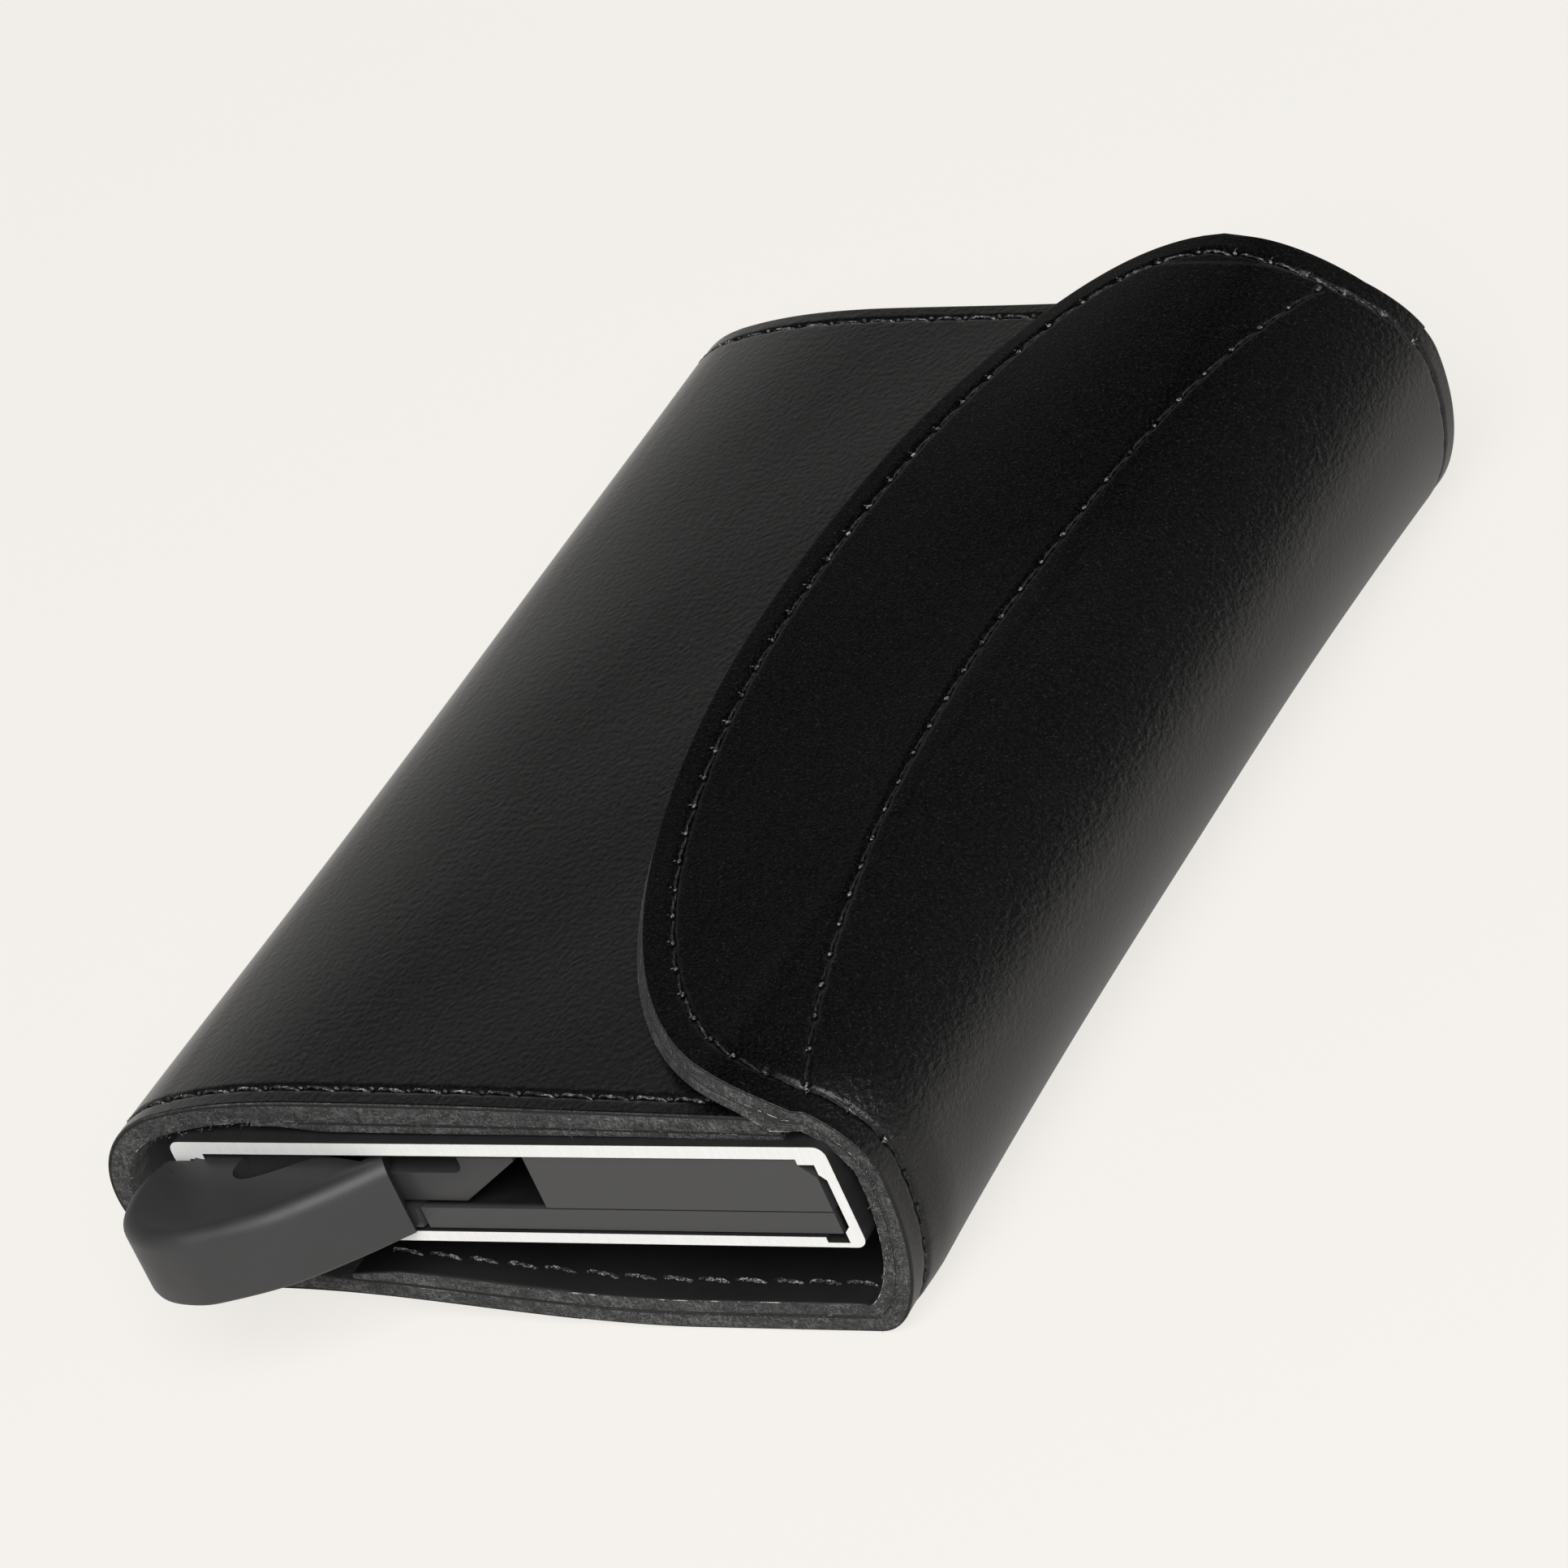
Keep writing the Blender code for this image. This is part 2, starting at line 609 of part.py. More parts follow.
def build_wrap_threads(name, section, depth, surface, pivot):
    for end, y in (("near", -HALF_WRAP + SEAM_INSET), ("far", HALF_WRAP - SEAM_INSET)):
        build_thread(f"{name}_thread_{end}", wrap_seam(section, y, depth), surface, pivot)


def flap_edge_seam(above):
    points = []
    for share in spread(0.1, 0.94, 34):
        before, after = flap_edge(share - 0.01), flap_edge(share + 0.01)
        x, y = flap_edge(share)
        along = Vector((after[0] - before[0], after[1] - before[1])).normalized()
        points.append(flap_point(x + along.y * FLAP_SEAM_INSET, y - along.x * FLAP_SEAM_INSET, -above))
    return points


def flap_inner_seam(above):
    half_seam = HALF_WRAP - 2 * SEAM_INSET
    points = []
    for y in spread(-half_seam, half_seam, 22):
        sag = 1.0 - (y / half_seam) ** 2
        x = HALF_WIDTH - INNER_SEAM_END - (INNER_SEAM_REACH - INNER_SEAM_END) * sag
        points.append(flap_point(x, y, -above))
    return points


def build_threads(surface, case_pivot, spine_pivot, flap_pivot):
    above = THREAD_RADIUS + THREAD_GAP
    build_wrap_threads("front", front_section, -above, surface, case_pivot)
    build_wrap_threads("back", back_section, WRAP_WALL + above, surface, None)
    build_wrap_threads("spine", spine_section, -above, surface, spine_pivot)
    build_thread("flap_edge_thread", flap_edge_seam(above), surface, flap_pivot)
    build_thread("flap_inner_thread", flap_inner_seam(above), surface, flap_pivot)


def main():
    clear_scene()
    skin = make_material("black_leather", (0.012, 0.012, 0.013), 0.55)
    lining = make_material("lining_leather", (0.02, 0.02, 0.021), 0.85)
    anodised = make_material("anodised_aluminium", (0.35, 0.35, 0.36), 0.35, 1.0)
    cap_upper = make_material("cap_upper_plastic", (0.075, 0.075, 0.078), 0.6)
    cap_lower = make_material("cap_lower_plastic", (0.07, 0.07, 0.073), 0.62)
    lever_plastic = make_material("lever_plastic", (0.055, 0.055, 0.058), 0.55)
    steel = make_material("pin_steel", (0.6, 0.6, 0.6), 0.3, 1.0)
    tape = make_material("tape_foam", (0.1, 0.1, 0.1), 0.9)
    thread = make_material("black_thread", (0.03, 0.03, 0.032), 0.7)

    case_pivot = make_pivot("case_open_axis", FOLD_HINGE)
    lever_pivot = make_pivot("lever_axis", LEVER_PIVOT, case_pivot)
    spine_x = spine_right(HALF_WRAP) + HINGE_OUTSET
    spine_z = lower_spine(0.0, SPINE_SPLIT)[1]
    spine_pivot = make_pivot("spine_open_axis", Vector((spine_x, 0.0, spine_z)))
    crease_x, crease_z = upper_spine(HALF_WRAP, FLAP_SPLIT)
    crease = Vector((crease_x + HINGE_OUTSET, 0.0, crease_z + HINGE_OUTSET))
    flap_pivot = make_pivot("flap_lift_axis", crease, spine_pivot)

    build_case(anodised, case_pivot)
    build_end_cap(cap_upper, cap_lower, case_pivot)
    build_tape(tape, case_pivot)
    build_pin(steel, case_pivot)
    lever = build_lever(lever_plastic, lever_pivot)
    soften_edges(lever, 0.3 * MM)

    build_wrap("front", front_section, skin, lining, case_pivot)
    build_wrap("back", back_section, skin, lining, None)
    build_wrap("spine", spine_section, skin, lining, spine_pivot)
    build_flap(skin, lining, flap_pivot)
    build_threads(thread, case_pivot, spine_pivot, flap_pivot)
    for label, pivot in (("lever", lever_pivot), ("case", case_pivot), ("spine", spine_pivot), ("flap", flap_pivot)):
        place = pivot_place(pivot)
        print(f"{label} axis passes {place.x:.5f} {place.y:.5f} {place.z:.5f}")


main()
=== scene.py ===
"""The looks of the card holder: stitched leather round a metal card case with a thumb lever."""

import math
import random

import bpy
import numpy as np
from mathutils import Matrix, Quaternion, Vector
from mathutils.kdtree import KDTree


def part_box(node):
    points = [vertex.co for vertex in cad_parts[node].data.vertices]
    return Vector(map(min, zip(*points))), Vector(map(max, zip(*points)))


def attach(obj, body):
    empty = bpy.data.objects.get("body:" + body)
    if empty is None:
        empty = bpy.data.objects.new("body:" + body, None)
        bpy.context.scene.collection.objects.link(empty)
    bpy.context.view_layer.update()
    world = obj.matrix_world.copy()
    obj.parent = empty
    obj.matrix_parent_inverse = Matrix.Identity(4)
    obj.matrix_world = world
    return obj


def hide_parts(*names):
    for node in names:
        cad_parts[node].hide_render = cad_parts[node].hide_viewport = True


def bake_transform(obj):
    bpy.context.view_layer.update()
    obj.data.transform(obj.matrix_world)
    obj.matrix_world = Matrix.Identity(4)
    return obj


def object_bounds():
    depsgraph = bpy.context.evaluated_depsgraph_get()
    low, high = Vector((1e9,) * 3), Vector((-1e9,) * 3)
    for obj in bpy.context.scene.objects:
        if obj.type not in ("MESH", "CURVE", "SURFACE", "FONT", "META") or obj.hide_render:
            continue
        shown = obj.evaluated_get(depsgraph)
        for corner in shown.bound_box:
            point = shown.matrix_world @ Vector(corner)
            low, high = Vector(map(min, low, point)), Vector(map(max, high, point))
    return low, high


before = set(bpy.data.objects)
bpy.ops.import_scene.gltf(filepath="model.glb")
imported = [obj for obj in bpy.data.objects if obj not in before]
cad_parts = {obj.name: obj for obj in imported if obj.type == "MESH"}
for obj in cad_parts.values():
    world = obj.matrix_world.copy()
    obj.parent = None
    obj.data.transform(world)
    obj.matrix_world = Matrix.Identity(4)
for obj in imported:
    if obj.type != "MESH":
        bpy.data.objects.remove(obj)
cad_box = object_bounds()

# Lengths below are in millimetres, and become metres when a mesh is made
MM = 0.001


def size_of(node):
    """A node's lowest and highest corners in millimetres."""
    low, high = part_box(node)
    return low / MM, high / MM


# Levels and reaches that come from the frame
CASE_LOW, CASE_HIGH = size_of("card_case")
FRONT_LOW, FRONT_HIGH = size_of("front_cover")
LEVER_LOW, LEVER_HIGH = size_of("ejector_lever")
HALF_WRAP = FRONT_HIGH.y
FRONT_LEVEL = FRONT_HIGH.z
FOLD_X = FRONT_LOW.x + FRONT_LEVEL / 2

# Leather layers
FRONT_SKIN = 1.95
FRONT_SKIN_RIGHT = 1.6
BACK_SKIN = 1.4
SPINE_SKIN = 1.2
GLUE = 0.06
FRONT_FACING = 0.9
FRONT_FACING_RIGHT = 0.6
BACK_FACING = 1.35
SPINE_FACING = 1.1
FLAP_FACING = 0.85
FLAP_FLARE = 0.62
EDGE_ROUND = 0.2
SPINE_EDGE_ROUND = 0.5
SKIVED_SHARE = 0.4

# Slow unevenness of a hide: its heights, and its lengths along X and Y
HIDE_WAVE, HIDE_WAVE_X, HIDE_WAVE_Y = 0.05, 8.3, 12.7
HIDE_RIPPLE, HIDE_RIPPLE_X, HIDE_RIPPLE_Y = 0.02, 3.9, 6.3
HIDE_FLAT_BELOW = 4.0

# Front panel and round fold
FRONT_RIGHT = CASE_HIGH.x - 3.6
CREST_X = -16.0
CREST = FRONT_LEVEL + 0.25
CREST_FALL = 1.25
CREST_LEFT_POWER = 2.6
CREST_RIGHT_POWER = 1.2
FOLD_WIDTH = 10.0
FOLD_SLIM = 0.55
FOLD_TURN = math.radians(103.0)
FOLD_TOP = FRONT_LEVEL - 1.05
FOLD_TOP_X = FOLD_X + FOLD_WIDTH * math.cos(FOLD_TURN)
CURL = 3.0
CURL_START = 12.0
CURL_REACH = 38.0
BACK_SEAM_X = 0.0
FACING_LEFT = -21.7
# Distances from the facings' left edge
BACK_FACING_START = 2.5
SKIVED_START = 1.5
SKIVED_RUN = 6.0
THINNED_BY = 4.0
INSIDE_ROW_START = 5.0

# Spine, which narrows from the middle to both ends
SPINE_RIGHT = CASE_HIGH.x + 4.9
SPINE_TAPER = 0.4
END_POWER = 2.5
SPINE_PINCH = 1.2
SPINE_PINCH_RUN = 5.5
SPINE_TOP = FRONT_LEVEL + 2.2
SPINE_WIDEST = 14.3
LOWER_RUN = 13.0
LOWER_RUN_NEAR = 7.6
LOWER_RUN_FAR = 8.8
UPPER_RUN = 13.9
SPINE_JOIN = math.radians(14.0)
CREASE = math.radians(45.0)

# Flap
FLAP_RISE = 1.2
FLAP_RISE_POWER = 1.3
FLAP_TIP = Vector((CASE_HIGH.x - 30.65, 10.1))
FLAP_TIP_HANDLE_NEAR = Vector((-0.7, -29.2))
FLAP_TIP_HANDLE_FAR = Vector((0.4, 29.0))
FLAP_NEAR = Vector((CASE_HIGH.x - 1.6, -HALF_WRAP - 0.4))
FLAP_NEAR_HANDLE = Vector((-17.7, 0.3))
FLAP_FAR = Vector((CASE_HIGH.x - 11.5, HALF_WRAP + 1.9))
FLAP_FAR_HANDLE = Vector((-10.5, -1.0))
FLAP_LIFT = 1.8
FLAP_LIFT_X = CASE_HIGH.x - 12.5
FLAP_LIFT_SPREAD = 17.5
FLAP_LIFT_RUN = 40.0
# Bands of closer columns, along the flap's edge and on both sides of its inner seam
EDGE_BAND = 5.4
SEAM_BAND = 1.1

# Seams
STITCH_PITCH = 3.15
FLAP_PITCH = 3.28
STITCH_LENGTH = 2.8
STITCH_SLANT = 0.13
STITCH_GIRTH = 0.85
FRONT_SEAM_INSET = 1.75
SPINE_SEAM_INSET = 2.0
INSIDE_SEAM_INSET = 2.1
FLAP_SEAM_INSET = 2.25
INNER_SEAM_X = CASE_HIGH.x + 0.7
INNER_SEAM_SAG = 10.6
INNER_SEAM_MIDDLE = -2.3
INNER_SEAM_HALF = 46.9
INNER_SEAM_DRIFT_FAR, INNER_SEAM_FAR_START, INNER_SEAM_FAR_POWER = 3.6, -10.0, 1.7
INNER_SEAM_DRIFT_NEAR, INNER_SEAM_NEAR_START, INNER_SEAM_NEAR_POWER = 1.3, -25.0, 1.5
SEAM_DEPTH = 0.22
SEAM_WIDTH = 0.24
HOLE_DEPTH = 0.22
HOLE_WIDTH = 0.32
MARGIN_DROP = 0.06
MARGIN_FADE = 0.6
PLY_RADIUS = 0.085
PLY_OFFSET = 0.075
PLY_TWIST = 2.8
KNOT_LENGTH = 0.46
KNOT_RADIUS = 0.15
KNOT_TAIL = 0.3
# Shares of the flap's edge seam, and how light its thread is there, for worn fibres and painted
# glints
EDGE_WEAR_AND_GLINTS = ([0.0, 0.09, 0.12, 0.17, 0.2, 0.78, 0.83, 0.95, 0.97, 1.0],
             [0.02, 0.04, 0.25, 0.25, 0.1, 0.1, 0.6, 0.6, 0.05, 0.02])

# Loose hairs at the cut edges: least and most of each measure, how a hair thins towards its end,
# and numbers of hairs at the lever end and the mouth end or along the flap
HAIR_ROOT = (0.12, 0.8)
HAIR_LENGTH = (0.12, 0.42)
HAIR_RADIUS = (0.014, 0.028)
HAIR_TAPER = np.array([1.0, 0.85, 0.35])
FRONT_HAIRS = (1500, 700)
BACK_HAIRS = (1400, 700)
SPINE_HAIRS = (220, 300)
FLAP_HAIRS = 1300

# Where the spine's leather wrinkles and turns dull, in metres
WRINKLE_TOP = (22.2 * MM, 19.8 * MM)
WRINKLE_FOOT = (11.0 * MM, 17.0 * MM)
WRINKLE_SIDE = (22.0 * MM, 30.0 * MM)
WRINKLE_DRIFT = (1.6 * MM, 0.0, 1.6 * MM)
DULL_SIDE = (22.0 * MM, 31.0 * MM)

# Shine of the leather, which grows in steps from the flap towards the spine
FRONT_SHINE = 0.5
SPINE_SHINE = 0.33
SHINE_START = SPINE_RIGHT - UPPER_RUN + 2.0
SHINE_STEP = 0.8
SHINE_STEPS = 5
SHINE_LEAST = 0.05
SHINE_RISE = 0.055

# Thumb lever, with plan points measured from its pin
PIVOT = Vector((CASE_LOW.x + 7.5, CASE_LOW.y + 5.0))
PAD_SWING = 13.2
PAD_INNER = -5.5
PAD_BACK = 4.3
PAD_CHAMFER = 3.0
PAD_SHOULDER = -5.35
PAD_EDGE = [(-9.0, -5.45), (-9.45, -7.3), (-9.4, -9.7), (-8.4, -12.1), (-5.9, -13.8),
            (-2.7, -14.2), (0.1, -13.5), (4.5, -11.6), (8.6, -8.7), (12.1, -5.75)]
PAD_END = [(11.2, -4.5), (10.5, -2.9), (10.2, 0.0), (10.2, 4.3)]
PAD_RIM = 1.3
PAD_LOWER_RIM = 0.4
PAD_DISH = 0.3
PAD_DISH_RIM = 1.1
FOOT_TOP = 11.7
FOOT_TURNS = np.radians(np.linspace(-22.0, 11.0, 9))
FOOT_INNER = [(9.0, 2.5), (9.0, -4.95)]
HOLLOW_EDGE = [(-1.5, -4.2), (-1.55, -6.0), (-0.9, -6.85), (0.2, -6.95), (1.8, -6.3), (5.0, -4.5)]
HOLLOW_CORNER = [(5.2, -4.2)]
HOLLOW_DEPTH = 4.2
BORE_RADIUS = 1.75
ARM_LOW = 12.15
ARM_HIGH = 16.35
ARM_END = 1.2
ARM_RAMP = 5.8
ARM_TIP = 0.4
ARM_HEAD = 5.0
ARM_NOTCH = 1.5
ARM_CORNER = 0.8
ARM_SETBACK = 0.55
ARM_ROUND = 0.12
CUT_OVER = 1.0

# Camera and light
CAMERA_PLACE = Vector((359.91, -421.24, 338.18))
CAMERA_AIM = Vector((15.43, -21.58, 28.1))
CAMERA_ROLL = math.radians(-24.77)
CAMERA_LENS = 195.2
KEY_PLACE = Vector((550.0, -750.0, 950.0))
KEY_SIZE = 0.9
KEY_POWER = 24.0
SKY_COLOUR = (1.0, 0.985, 0.96, 1.0)
FLOOR_COLOUR = (0.913, 0.888, 0.847, 1.0)
FLOOR_SIZE = 12.0
FLOOR_GAP = 0.05
FLOOR_GLOW = 0.86
MIRRORED_GLOW = 0.55


# Helpers for modelling

def deselect():
    bpy.ops.object.select_all(action="DESELECT")


def make_active(piece):
    deselect()
    piece.select_set(True)
    bpy.context.view_layer.objects.active = piece


def set_mode(mode):
    bpy.ops.object.mode_set(mode=mode)


def name_new(name):
    """Names the piece that was just added, and its mesh."""
    piece = bpy.context.object
    piece.name = name
    piece.data.name = name
    return piece


def apply_modifier(piece, kind, **settings):
    make_active(piece)
    modifier = piece.modifiers.new(kind, kind)
    for name, value in settings.items():
        setattr(modifier, name, value)
    bpy.ops.object.modifier_apply(modifier=modifier.name)


def store(mesh, name, kind, domain, values):
    """Keeps a value for each point or edge of a mesh."""
    mesh.attributes.new(name, kind, domain).data.foreach_set("value", values)


def face_outwards():
    """Turns the faces of the active piece outwards."""
    set_mode("EDIT")
    bpy.ops.mesh.select_all(action="SELECT")
    bpy.ops.mesh.normals_make_consistent(inside=False)
    set_mode("OBJECT")


def shade(piece, angle):
    make_active(piece)
    bpy.ops.object.shade_smooth_by_angle(angle=math.radians(angle))


def finish_with(piece, *surfaces):
    piece.data.materials.clear()
    for surface in surfaces:
        piece.data.materials.append(surface)


def spread(*stops):
    """Joins even steps between stops: value, count, value, count, value and so on."""
    values = [np.linspace(stops[i], stops[i + 2], stops[i + 1], endpoint=False)
              for i in range(0, len(stops) - 2, 2)]
    return np.concatenate([*values, [stops[-1]]])


def smooth(share):
    share = np.clip(share, 0.0, 1.0)
    return share * share * (3.0 - 2.0 * share)


def ramp(value, start, stop, power):
    """0 at the start and 1 at the stop, and level beyond them."""
    return np.clip((value - start) / (stop - start), 0.0, 1.0) ** power


def unit(vectors):
    lengths = np.linalg.norm(vectors, axis=-1, keepdims=True)
    return vectors / np.maximum(lengths, 1e-9)


def around(radius, turns):
    return radius * np.stack([np.cos(turns), np.sin(turns)], axis=1)


def tree_of(points):
    tree = KDTree(len(points))
    for index, point in enumerate(points):
        tree.insert(point, index)
    tree.balance()
    return tree


def nearest(points, targets):
    """How far each point is from the nearest target."""
    tree = tree_of(targets)
    return np.array([tree.find(point)[2] for point in points])


# Outer face of the wrap: sections across X and Z, at stations along Y

def end_share(y):
    """0 at mid-length and 1 at both ends of the wrap."""
    return np.minimum(1.0, np.abs(y) / HALF_WRAP) ** END_POWER


def spine_side(y):
    return SPINE_RIGHT - SPINE_TAPER * end_share(y)


def spine_pinch(y):
    """How far the spine is drawn in at the lever end, above its foot."""
    return SPINE_PINCH * smooth((SPINE_PINCH_RUN - HALF_WRAP - y) / SPINE_PINCH_RUN)


def spine_right(y):
    return spine_side(y) - spine_pinch(y)


def lower_run(y):
    at_end = np.where(y < 0.0, LOWER_RUN_NEAR, LOWER_RUN_FAR)
    return LOWER_RUN + (at_end - LOWER_RUN) * end_share(y)


def curl(y):
    """How far the back's left side curls up towards the lever end."""
    return CURL * smooth((-CURL_START - y) / (HALF_WRAP - CURL_START))


def front_part(y, x):
    """Highest at the crest, and lower towards the fold and towards the flap's side."""
    left = ramp(x, CREST_X, FOLD_TOP_X, CREST_LEFT_POWER)
    right = ramp(x, CREST_X, FRONT_RIGHT, CREST_RIGHT_POWER)
    return x, CREST - (CREST - FOLD_TOP) * left - CREST_FALL * right


def fold_part(y, turn):
    bottom = curl(y)
    width = FOLD_WIDTH - FOLD_SLIM * (1.0 - bottom / CURL)
    half = (FOLD_TOP - bottom) / (1.0 + math.sin(FOLD_TURN))
    return FOLD_X + width * np.cos(turn), bottom + half * (1.0 + np.sin(turn))


def back_part(y, x):
    return x, curl(y) * (1.0 - smooth((x - FOLD_X) / CURL_REACH))


def back_right_part(y, share):
    stop = spine_side(y) - lower_run(y)
    return back_part(y, BACK_SEAM_X + (stop - BACK_SEAM_X) * share)


def lower_part(y, turn):
    run = lower_run(y)
    x = spine_side(y) - run + (run - spine_pinch(y)) * np.cos(turn)
    return x, SPINE_WIDEST * (1.0 + np.sin(turn))


def far_lift(x, y):
    """How far the flap and the upper spine stand up towards the mouth end."""
    across = np.maximum(0.0, 1.0 - ((x - FLAP_LIFT_X) / FLAP_LIFT_SPREAD) ** 2)
    along = smooth((y - HALF_WRAP + FLAP_LIFT_RUN) / FLAP_LIFT_RUN)
    return FLAP_LIFT * along * across ** 2


def upper_part(y, turn):
    x = spine_right(y) - UPPER_RUN + UPPER_RUN * np.cos(turn)
    return x, SPINE_WIDEST + (SPINE_TOP - SPINE_WIDEST) * np.sin(turn) + far_lift(x, y)


def waviness(points):
    """Slow unevenness of a hide, which dies out on the flat back."""
    x, y, z = np.moveaxis(points, 2, 0)
    slow = np.sin(x / HIDE_WAVE_X + 1.3) * np.sin(y / HIDE_WAVE_Y + 0.4)
    quick = np.sin(x / HIDE_RIPPLE_X - y / HIDE_RIPPLE_Y + 0.8)
    return (HIDE_WAVE * slow + HIDE_RIPPLE * quick) * smooth(z / HIDE_FLAT_BELOW)


def wrap_points(parts, stations):
    """A grid of points: rows from the mouth end to the lever end, columns along the parts."""
    y = np.asarray(stations, float)[:, None]
    columns = []
    for part, values in parts:
        x, z = part(y, np.asarray(values, float)[None, :])
        shape = (len(y), len(values))
        columns.append(np.stack([np.broadcast_to(axis, shape) for axis in (x, y, z)], axis=2))
    return np.concatenate(columns, axis=1)


def surface_normals(points):
    return unit(np.cross(np.gradient(points, axis=1), np.gradient(points, axis=0)))


def wrap_line(parts, y):
    """Points across the wrap at one station, and the outer face's normals there."""
    grid = wrap_points(parts, [y + 0.1, y, y - 0.1])
    return grid[1], surface_normals(grid)[1]


def wrap_stations(inset):
    """Rows that lie closer together along the end seams."""
    end = HALF_WRAP
    seam = HALF_WRAP - inset
    return spread(end, 4, seam + 0.8, 18, seam - 0.9, 84, -seam + 0.9, 18, -seam - 0.8, 4, -end)


FRONT_PARTS = [
    (front_part, spread(FRONT_RIGHT, 92, FOLD_TOP_X)[:-1]),
    (fold_part, np.linspace(FOLD_TURN, 1.5 * math.pi, 63)[:-1]),
    (back_part, spread(FOLD_X, 26, BACK_SEAM_X - 0.05, 1, BACK_SEAM_X)),
]
BACK_PARTS = [
    (back_right_part, spread(0.0, 1, 0.002, 22, 1.0)[:-1]),
    (lower_part, np.linspace(-math.pi / 2, 0.0, 49)[:-1]),
    (upper_part, spread(0.0, 7, SPINE_JOIN - 0.004, 1, SPINE_JOIN)),
]


# Flap: rows from the crease to its curved free edge

def bezier(first, handle_1, handle_2, last, share):
    rest = 1.0 - share
    weights = (rest ** 3, 3 * rest ** 2 * share, 3 * rest * share ** 2, share ** 3)
    points = (first, handle_1, handle_2, last)
    return sum(weight[:, None] * np.array(point) for weight, point in zip(weights, points))


def flap_outline(count=400):
    """Points (x, y) along the free edge, from the lever end to the mouth end."""
    share = np.linspace(0.0, 1.0, count)
    near = bezier(FLAP_NEAR, FLAP_NEAR + FLAP_NEAR_HANDLE,
                  FLAP_TIP + FLAP_TIP_HANDLE_NEAR, FLAP_TIP, share)
    far = bezier(FLAP_TIP, FLAP_TIP + FLAP_TIP_HANDLE_FAR,
                 FLAP_FAR + FLAP_FAR_HANDLE, FLAP_FAR, share)
    return np.concatenate([near, far[1:]])


def flap_height(x, y):
    crest = spine_right(y) - UPPER_RUN
    over = np.clip((x - crest) / UPPER_RUN, 0.0, 1.0)
    rise = FLAP_RISE * ramp(x, crest, FLAP_TIP.x, FLAP_RISE_POWER)
    height = SPINE_WIDEST + (SPINE_TOP - SPINE_WIDEST) * np.sqrt(1.0 - over * over) + rise
    return height + far_lift(x, y)


def on_flap(x, y):
    return np.stack([x, y, flap_height(x, y)], axis=1)


def flap_normal(x, y):
    step = 0.2
    slope_x = (flap_height(x + step, y) - flap_height(x - step, y)) / (2 * step)
    slope_y = (flap_height(x, y + step) - flap_height(x, y - step)) / (2 * step)
    return unit(np.stack([-slope_x, -slope_y, np.ones_like(slope_x)], axis=-1))


def inner_seam_x(y):
    far = INNER_SEAM_DRIFT_FAR * ramp(y, INNER_SEAM_FAR_START, HALF_WRAP, INNER_SEAM_FAR_POWER)
    near = INNER_SEAM_DRIFT_NEAR * ramp(y, INNER_SEAM_NEAR_START, -HALF_WRAP, INNER_SEAM_NEAR_POWER)
    sag = INNER_SEAM_SAG * (1.0 - ((y - INNER_SEAM_MIDDLE) / INNER_SEAM_HALF) ** 2)
    return INNER_SEAM_X - far - near - sag


def flap_points():
    """The upper spine and the flap in one grid, rows from the mouth end to the lever end. Rows and
    columns lie closer together along the seams."""
    outline = flap_outline()
    first, last = outline[0, 1], outline[-1, 1]
    edge_y = spread(last, 5, last - 1.3, 22, last - 4.3, 20, last - 11.0, 108,
                    first + 15.0, 34, first + 3.6, 24, first + 0.9, 5, first)
    order = np.argsort(outline[:, 1])
    edge_x = np.interp(edge_y, outline[order, 1], outline[order, 0])
    crease_y = -HALF_WRAP + 2 * HALF_WRAP * (edge_y - first) / (last - first)
    crease_x = upper_part(crease_y, CREASE)[0]
    turns = spread(SPINE_JOIN, 1, SPINE_JOIN + 0.004, 15, CREASE)
    spine = wrap_points([(upper_part, turns)], crease_y)
    rows = []
    for cx, cy, ex, ey in zip(crease_x, crease_y, edge_x, edge_y):
        length = math.hypot(cx - ex, cy - ey)
        band = EDGE_BAND * min(1.0, 0.45 * length / EDGE_BAND)
        seam = (inner_seam_x(0.5 * (cy + ey)) - ex) / (cx - ex) * length
        low = min(max(seam - SEAM_BAND, band + 0.2), length * 0.9)
        high = min(max(seam + SEAM_BAND, low + 0.2), length * 0.95)
        out = np.concatenate([band * spread(0.0, 6, 0.36, 11, 0.8, 3, 1.0)[:-1],
                              spread(band, 24, low, 11, high, 10, length)])
        share = 1.0 - out[::-1][1:] / length
        rows.append(on_flap(cx + (ex - cx) * share, cy + (ey - cy) * share))
    return np.concatenate([spine, np.array(rows)], axis=1)


# Seams

def interpolate(steps, run, values):
    return np.stack([np.interp(steps, run, column) for column in values.T], axis=1)


class Seam:
    """A row of stitches: its path at even steps, the face's normals there, and its needle holes."""

    STEP = 0.1

    def __init__(self, path, normals, pitch=STITCH_PITCH):
        lengths = np.linalg.norm(np.diff(path, axis=0), axis=1)
        run = np.concatenate([[0.0], np.cumsum(lengths)])
        steps = np.arange(0.0, run[-1], self.STEP)
        self.path = interpolate(steps, run, path)
        self.normals = unit(interpolate(steps, run, normals))
        length = steps[-1]
        self.count = int(length // pitch)
        self.pitch = length / max(1, self.count)
        holes = np.arange(self.count + 1) * self.pitch
        self.holes = self.path[np.clip((holes / self.STEP).astype(int), 0, len(steps) - 1)]

    def at(self, run):
        """Points, tangents and normals at distances along the path."""
        last = len(self.path) - 1
        place = np.clip(run / self.STEP, 0, last - 1.001)
        index = place.astype(int)
        part = (place - index)[:, None]
        point = self.path[index] * (1 - part) + self.path[index + 1] * part
        along = self.path[np.minimum(index + 3, last)] - self.path[np.maximum(index - 3, 0)]
        return point, unit(along), self.normals[index]


